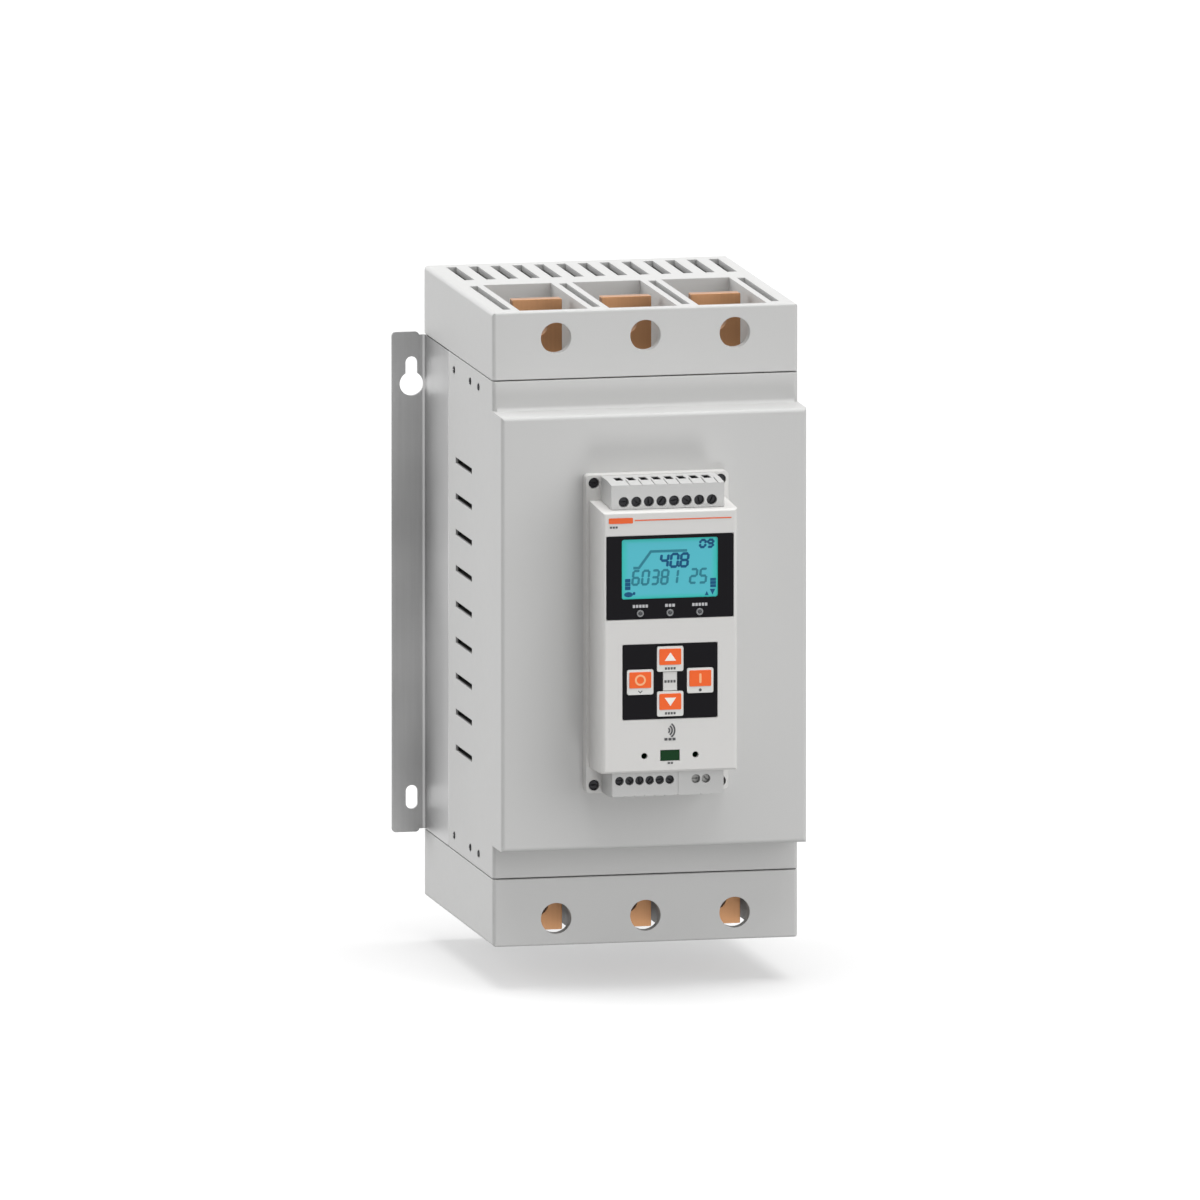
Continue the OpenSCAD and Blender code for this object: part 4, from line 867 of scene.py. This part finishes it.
# %% Case and film marks
CASE_BAR = (-24.8, 220.5, 12.2, 2.8, 0.5)
CASE_LINE = (6.6, 220.5, 48.9, 0.55)
WAVE_MIDDLE = (-1.6, 115.1)
WAVE_RADII = (1.4, 2.7, 4.0)
WAVE_PEN = 0.75
WAVE_TURN = 0.95
WAVE_STEPS = 14
CASE_LABEL = (-28.4, 217.3, 3.9, 1.0, 3)
READER_LABEL = (0.0, 110.7, 5.6, 1.3, 3)
PORT_LABEL = (0.2, 98.8, 2.6, 0.9, 2)
BRIDGE_LABEL = (0.0, 139.6, 5.6, 1.3, 4)
LAMP_LABELS = ((-15.0, 177.6, 7.6, 1.5, 5), (0.0, 177.6, 4.9, 1.5, 3), (15.0, 177.6, 7.6, 1.5, 5))
case_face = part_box("control_case")[0].y
film_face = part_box("display_bezel")[0].y
bridge_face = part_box("keypad_bezel")[0].y
make_piece("case_bar", [tablet(rounded_bar(*CASE_BAR), case_face)], inks["orange"], "housing")
make_piece("case_line", [tablet(rounded_bar(*CASE_LINE), case_face)], inks["orange"], "housing")
case_labels = label_blocks(*CASE_LABEL, case_face)
make_piece("case_label", case_labels, inks["dark"], "housing")
swing = arc(-WAVE_TURN, WAVE_TURN, WAVE_STEPS)
waves = [stroke((r * swing + WAVE_MIDDLE) * MM, WAVE_PEN * MM, case_face) for r in WAVE_RADII]
waves += label_blocks(*READER_LABEL, case_face) + label_blocks(*PORT_LABEL, case_face)
make_piece("reader_waves", waves, inks["dark"], "housing")
lamp_labels = [block for label in LAMP_LABELS for block in label_blocks(*label, film_face)]
make_piece("lamp_labels", lamp_labels, inks["pale"], "housing")
make_piece("bridge_label", label_blocks(*BRIDGE_LABEL, bridge_face), inks["dark"], "housing")
print("marks on the case:", len(waves) + len(case_labels) + 2, "and on the film:", len(lamp_labels))

# %% [markdown]
# ## Key symbols
# Each key has its sign on the orange pad and a small label on the grey strip below it. They ride on
# their own key, so they sink with it. The arrows are triangles; stop is a ring and start an upright bar,
# as on many power keys.

# %% Symbols that ride on the keys
PAD_LIFT = 1.1
STRIP_DROP = 4.75
ARROW = np.array([[-2.9, -2.0], [2.9, -2.0], [0.0, 2.2]])
RING_R = 2.3
RING_PEN = 0.9
RING_STEPS = 40
HOOK = np.array([[-1.0, 0.5], [0.0, -0.5], [1.0, 0.5]])
HOOK_PEN = 0.4
START_BAR = (1.1, 4.8, 0.5)
DOT_R = 0.75
KEY_LABEL = (5.4, 1.2, 4)
strip_face = pad_front + PAD_HEIGHT
ring = arc(0, 2 * np.pi, RING_STEPS + 1)[:-1]


def key_middle(key):
    """Middle of a key in x and z, in mm, from its box."""
    low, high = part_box(key)
    return np.array([low.x + high.x, low.z + high.z]) / 2 / MM


for key, way in (("key_up", 1), ("key_down", -1)):
    x, z = key_middle(key)
    arrow = ARROW * (1, way) + (x, z + PAD_LIFT)
    make_piece(key + "_arrow", [tablet(arrow * MM, pad_front)], inks["white"], key)
    label = label_blocks(x, z - STRIP_DROP, *KEY_LABEL, strip_face)
    make_piece(key + "_label", label, inks["dark"], key)
x, z = key_middle("key_stop")
circle = stroke((ring * RING_R + (x, z + PAD_LIFT)) * MM, RING_PEN * MM, pad_front, closed=True)
make_piece("key_stop_ring", [circle], inks["peach"], "key_stop")
hook = stroke((HOOK + (x, z - STRIP_DROP)) * MM, HOOK_PEN * MM, strip_face)
make_piece("key_stop_sign", [hook], inks["dark"], "key_stop")
x, z = key_middle("key_start")
bar = tablet(rounded_bar(x, z + PAD_LIFT, *START_BAR), pad_front)
make_piece("key_start_bar", [bar], inks["peach"], "key_start")
dot = tablet((ring * DOT_R + (x, z - STRIP_DROP)) * MM, strip_face)
make_piece("key_start_sign", [dot], inks["dark"], "key_start")
print("symbols ride on", ", ".join(("key_up", "key_down", "key_stop", "key_start")))

# %% [markdown]
# ## Lamps
# A status lamp is a clear light pipe: a grey collar with a dark, slightly domed lens in it. Both are
# turned shapes, so a lathe makes them: a profile of radius and depth goes once round an upright axis, and
# swapping two coordinates then lays that axis along the depth.

# %% Lamp collars and lenses
LENS_R = 1.05 * MM
LENS_BACK = 0.15 * MM
DOME_RISE = 0.25 * MM
LENS_STEPS = 7
COLLAR_DEEP = 3.0 * MM
SEAT_DEEP = 0.45 * MM
LIP = 0.25 * MM
LIP_SOFT = 0.1 * MM
RIM_SOFT = 0.2 * MM
LATHE_STEPS = 36
TO_FRONT = [0, 2, 1]
LAMPS_ON_FILM = ("status_lamp_left", "status_lamp_middle", "status_lamp_right")


def lathe(profile, steps=LATHE_STEPS):
    """A profile of radius and height turned about the z axis: at the angle a, a point of it lies at
    radius * cos a and radius * sin a, at its own height."""
    a = np.linspace(0, 2 * np.pi, steps, endpoint=False)[None, :]
    r, height = profile[:, :1], profile[:, 1:]
    return np.stack(np.broadcast_arrays(r * np.cos(a), r * np.sin(a), height), axis=-1)


collars, lenses = [], []
for lamp_node in LAMPS_ON_FILM:
    low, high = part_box(lamp_node)
    lamp_r, front, rear = (high.x - low.x) / 2, low.y, high.y
    axis = ((low.x + high.x) / 2, 0, (low.z + high.z) / 2)
    collar = np.array([
        [LENS_R, COLLAR_DEEP], [LENS_R, SEAT_DEEP], [LENS_R + LIP_SOFT, LIP_SOFT], [LENS_R + LIP, 0],
        [lamp_r - LIP, 0], [lamp_r, RIM_SOFT], [lamp_r, COLLAR_DEEP],
    ]) + (0, front)
    collars.append(grid_part(lathe(collar)[..., TO_FRONT] + axis, wrap_rows=True))
    share = np.linspace(0, 1, LENS_STEPS)
    dome = np.column_stack([LENS_R * share, front + LENS_BACK + DOME_RISE * share**2])
    lens_profile = np.concatenate([dome, [[LENS_R, rear], [0, rear]]])
    lenses.append(grid_part(lathe(lens_profile)[..., TO_FRONT] + axis))
collar_grey = moulded_plastic("collar_grey", srgb(150, 151, 153), gloss=0.3, edge_mm=0.1)
lens_smoke = moulded_plastic(
    "lens_smoke", srgb(58, 60, 63), gloss=0.12, depth_mm=0.002, edge_mm=0.1, shine=0.5
)
make_piece("lamp_collars", collars, collar_grey, "housing")
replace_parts(make_piece("lamp_lenses", lenses, lens_smoke, "housing"), *LAMPS_ON_FILM)
print("lamps:", len(lenses), f"of {2 * lamp_r / MM:.1f} mm")

# %% [markdown]
# ## Slotted screws
# The screws that show have slotted heads. A slot could be cut with a boolean, but two half-moons that
# stand on the head leave the same groove between them and are closed solids of a few faces. Each slot
# stops at an angle of its own, as driven screws do.

# %% Half-moons on the screw heads
SLOT_W = 0.6 * MM
MOON_H = 0.45 * MM
TURN_STEP = 2.4
MOON_STEPS = 15


def half_moons(x, z, radius, turn, face_y):
    """Two tablets on a head: arcs of a circle from where a chord at half the slot's width cuts it, and
    their mirror image across the slot, both turned about the screw's axis."""
    rise = math.asin(SLOT_W / 2 / radius)
    return [
        tablet(radius * arc(start + rise, start + math.pi - rise, MOON_STEPS) + (x, z), face_y, MOON_H)
        for start in (turn, turn + math.pi)
    ]


def moon_row(xs, z, radius, face_y):
    """Half-moons for a row of screws."""
    return [moon for i, x in enumerate(xs) for moon in half_moons(x, z, radius, TURN_STEP * i, face_y)]


def pole_places(block, poles, pitch):
    """The poles' places along a terminal block, from the middle of its box."""
    low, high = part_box(block)
    return (low.x + high.x) / 2 + (np.arange(poles) - (poles - 1) / 2) * pitch * MM


BLOCKS = {"upper": (8, 6.35), "lower": (6, 5.08), "aux": (2, 5.08)}
HEAD_RIM = 0.15 * MM
for block, (poles, pitch) in BLOCKS.items():
    low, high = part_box(block + "_block_screws")
    moons = moon_row(
        pole_places(block + "_terminal_block", poles, pitch),
        (low.z + high.z) / 2, (high.z - low.z) / 2 - HEAD_RIM, low.y,
    )
    # The outer heads take the dark finish that paints the shade of their wells.
    finish = bright_screw if block == "aux" else shade_darkened
    make_piece(block + "_screw_slots", moons, finish, "housing")
print("slotted heads:", sum(poles for poles, _ in BLOCKS.values()))

# %% [markdown]
# ## Screws of the tray and the sides
# Four screws hold the control unit in its tray, and twelve small ones sit in wells along the two sides.
# They could have a helper of their own, but the same half-moons serve: those of the sides are made as if
# they looked to the front, and swapping their coordinates then turns them to the left and the right.

# %% The screws of the tray and the sides
TRAY_HEAD_R = 2.4 * MM
SIDE_HEAD_R = 1.7 * MM
SIDE_DEPTHS = np.array([39.25, 0.85, -18.95]) * MM
low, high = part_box("control_unit_screws")
tray_moons = [
    moon
    for z in (low.z + TRAY_HEAD_R, high.z - TRAY_HEAD_R)
    for moon in moon_row((low.x + TRAY_HEAD_R, high.x - TRAY_HEAD_R), z, TRAY_HEAD_R - HEAD_RIM, low.y)
]
make_piece("tray_screw_slots", tray_moons, shade_darkened, "housing")
low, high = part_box("side_screws")
side_moons = []
for z in (low.z + SIDE_HEAD_R, high.z - SIDE_HEAD_R):
    for points, quads in moon_row(SIDE_DEPTHS, z, SIDE_HEAD_R - HEAD_RIM, low.x):
        for side in (-1, 1):
            turned = np.column_stack([-side * points[:, 1], points[:, 0], points[:, 2]])
            side_moons.append((turned, quads))
make_piece("side_screw_slots", side_moons, shade_darkened, "housing")
print("tray and side heads:", len(tray_moons) // 2 + len(side_moons) // 2)

# %% [markdown]
# ## Clamp cages
# Behind each wire entry sits a steel cage that the screw draws up against the wire. The cage's steel is
# painted dark grey as shade, so that the entry looks dark. A cage is a sleeve of sheet metal: a rectangle
# of wall and height carried round the entry's outline.

# %% Cages in the wire entries
CAGE_WALL = 0.45
CAGE_RUN = 8.9
CAGE_PLAY = 0.1
OUTER_CORNER = 0.5
INNER_CORNER = 0.3
ENTRY_BACK = 14.0
ENTRY_SHARE = 0.6
CAGE_TOP = 0.3 * MM
CAGE_DEEP = 7.9 * MM


def sleeve(x, y, low_z, high_z, width):
    """An upright tube about x and y, in mm: an outer and an inner rounded outline, each at two heights,
    joined in a closed loop of four rings."""
    outer = rounded_bar(x, y, width, CAGE_RUN, OUTER_CORNER)
    inner = rounded_bar(x, y, width - 2 * CAGE_WALL, CAGE_RUN - 2 * CAGE_WALL, INNER_CORNER)
    flat = np.stack([outer, outer, inner, inner])
    height = np.array([low_z, high_z, high_z, low_z])[:, None]
    return grid_part(np.dstack([flat, np.broadcast_to(height, flat.shape[:2])]), wrap_rows=True)


# Dark grey steel for the cages: painted shade inside the wire entries.
shade_dark_cage_steel = drawn_metal("shade_dark_cage_steel", srgb(56, 56, 58), 0.5, SHORT, edge_mm=0.1)
for block, (poles, pitch) in BLOCKS.items():
    low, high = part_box(block + "_terminal_block")
    at_mouth = (low.z + CAGE_TOP, low.z + CAGE_DEEP)
    if block == "upper":
        at_mouth = (high.z - CAGE_DEEP, high.z - CAGE_TOP)
    cages = [
        sleeve(x / MM, low.y / MM + ENTRY_BACK, *at_mouth, pitch * ENTRY_SHARE - CAGE_PLAY)
        for x in pole_places(block + "_terminal_block", poles, pitch)
    ]
    make_piece(block + "_clamps", cages, shade_dark_cage_steel, "housing")
print("cages:", sum(poles for poles, _ in BLOCKS.values()))

# %% [markdown]
# ## Rib between the lower blocks
# The six-pole and the two-pole block plug in side by side, keyed by a rib that nearly fills the joint,
# so that only a faint line shows between them. The rib is a slim bar with rounded ends, set a hair
# behind the faces of the blocks.

# %% The rib in the joint
RIB_BACK = 0.12 * MM
RIB_DEPTH = 2.0 * MM
RIB_ENDS = (1.3, 0.3)
RIB_CORNER = 0.2
left_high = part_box("lower_terminal_block")[1]
low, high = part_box("aux_terminal_block")
rib_low, rib_high = low.z / MM + RIB_ENDS[0], high.z / MM - RIB_ENDS[1]
joint_x, joint_w = (left_high.x + low.x) / 2 / MM, (low.x - left_high.x) / MM
rib = rounded_bar(joint_x, (rib_low + rib_high) / 2, joint_w, rib_high - rib_low, RIB_CORNER)
rib_part = tablet(rib, low.y + RIB_BACK + RIB_DEPTH, RIB_DEPTH)
make_piece("block_rib", [rib_part], finishes["terminal_plastic"], "housing")
print(f"rib: {joint_w:.1f} mm wide, {rib_high - rib_low:.1f} mm high")

# %% [markdown]
# ## Fan rotors
# Two axial fans push air up through the fins. Their rotors are moulded in one piece: a hub cup with a
# rounded rim, and seven swept blades, steeper at the root than at the tip. Straight plates would do for
# a collision shape, but from below the sweep is what makes a fan look like one, so each blade is a thin
# lens-shaped profile carried outwards and wrapped round the axis. Each rotor rides on its own body and
# turns with it.

# %% Hub and swept blades
BLADES = 7
HUB_R = 11.0
TIP_R = 22.6
CUP_R = 4.8
SHAFT_R = 1.5
CUP_ROOF = 1.4
RIM_R = 1.5
RIM_STEPS = 6
HUB_CHAMFER = 0.4
ROOT_SINK = 0.5
ROOT_CHORD = 13
CHORD_GAIN = 7
ROOT_TILT = 46
TILT_LOSS = 12
SWEEP = 0.35
HALF_THICK = 0.55
CAMBER = 1.1
BLADE_ROWS = 10
PROFILE_STEPS = 24


def swept_blade(turn):
    """One blade about the z axis, in mm. At the share u of its length the chord is ROOT_CHORD +
    CHORD_GAIN * u long and tilted by ROOT_TILT - TILT_LOSS * u degrees. The profile at the angle p is
    HALF_THICK * sin p + CAMBER * sin^2 p thick, and a point at the distance s along the arc of radius r
    stands at the angle turn + SWEEP * u^2 + s / r."""
    u = np.linspace(0, 1, BLADE_ROWS)[:, None]
    p = np.linspace(0, 2 * np.pi, PROFILE_STEPS, endpoint=False)[None, :]
    chord = np.cos(p) / 2 * (ROOT_CHORD + CHORD_GAIN * u)
    thick = HALF_THICK * np.sin(p) + CAMBER * np.sin(p) ** 2
    tilt = np.radians(ROOT_TILT - TILT_LOSS * u)
    r = HUB_R - ROOT_SINK + (TIP_R - HUB_R + ROOT_SINK) * u
    angle = turn + SWEEP * u**2 + (chord * np.cos(tilt) - thick * np.sin(tilt)) / r
    rise = chord * np.sin(tilt) + thick * np.cos(tilt)
    points = np.stack([r * np.cos(angle), r * np.sin(angle), rise], axis=-1)
    ends = np.repeat(points.mean(axis=1, keepdims=True), points.shape[1], axis=1)
    return np.concatenate([ends[:1], points, ends[-1:]])


for side in ("left", "right"):
    frame_low, frame_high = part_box("fan_frame_" + side)
    low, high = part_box("fan_rotor_" + side)
    half = (high.z - low.z) / 2 / MM
    roof = half - CUP_ROOF
    inside = [[0, -half], [SHAFT_R, -half], [SHAFT_R, roof], [CUP_R, roof], [CUP_R, -half]]
    foot = [[HUB_R - HUB_CHAMFER, -half], [HUB_R, HUB_CHAMFER - half]]
    rim = RIM_R * arc(0, np.pi / 2, RIM_STEPS) + (HUB_R - RIM_R, half - RIM_R)
    cup = np.concatenate([inside, foot, rim, [[0, half]]])
    axis_x, axis_y, _ = (frame_low + frame_high) / 2
    middle = np.array([axis_x, axis_y, (low.z + high.z) / 2])
    shells = [lathe(cup, 2 * LATHE_STEPS)] + [swept_blade(2 * np.pi * i / BLADES) for i in range(BLADES)]
    rotor = make_piece(
        "rotor_" + side, [grid_part(shell * MM + middle) for shell in shells], finishes["fan_rotor"],
        "fan_rotor_" + side,
    )
    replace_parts(rotor, "fan_rotor_" + side)
    print("rotor", side, "with", BLADES, "blades")

# %% [markdown]
# ## Dressing the solids
# The imported record says which slot each solid belongs to, so one loop hands out the finishes. The outer
# screws are the exception: they share a slot with the plated ones inside, and take instead the dark
# finish that paints the shade of their wells.

# %% One finish for every solid
DARK_NODES = ("side_screws", "control_unit_screws", "upper_block_screws", "lower_block_screws")
for part in frame["record"]["subparts"]:
    solid = frame["nodes"][part["node"]]
    finish = finishes[part["material_slot"]]
    # The outer screws' dark finish is painted shade from their wells.
    if part["node"] in DARK_NODES:
        finish = shade_darkened
    if part["node"] == "aux_block_screws":
        finish = bright_screw
    for holder in solid.material_slots:
        holder.material = finish
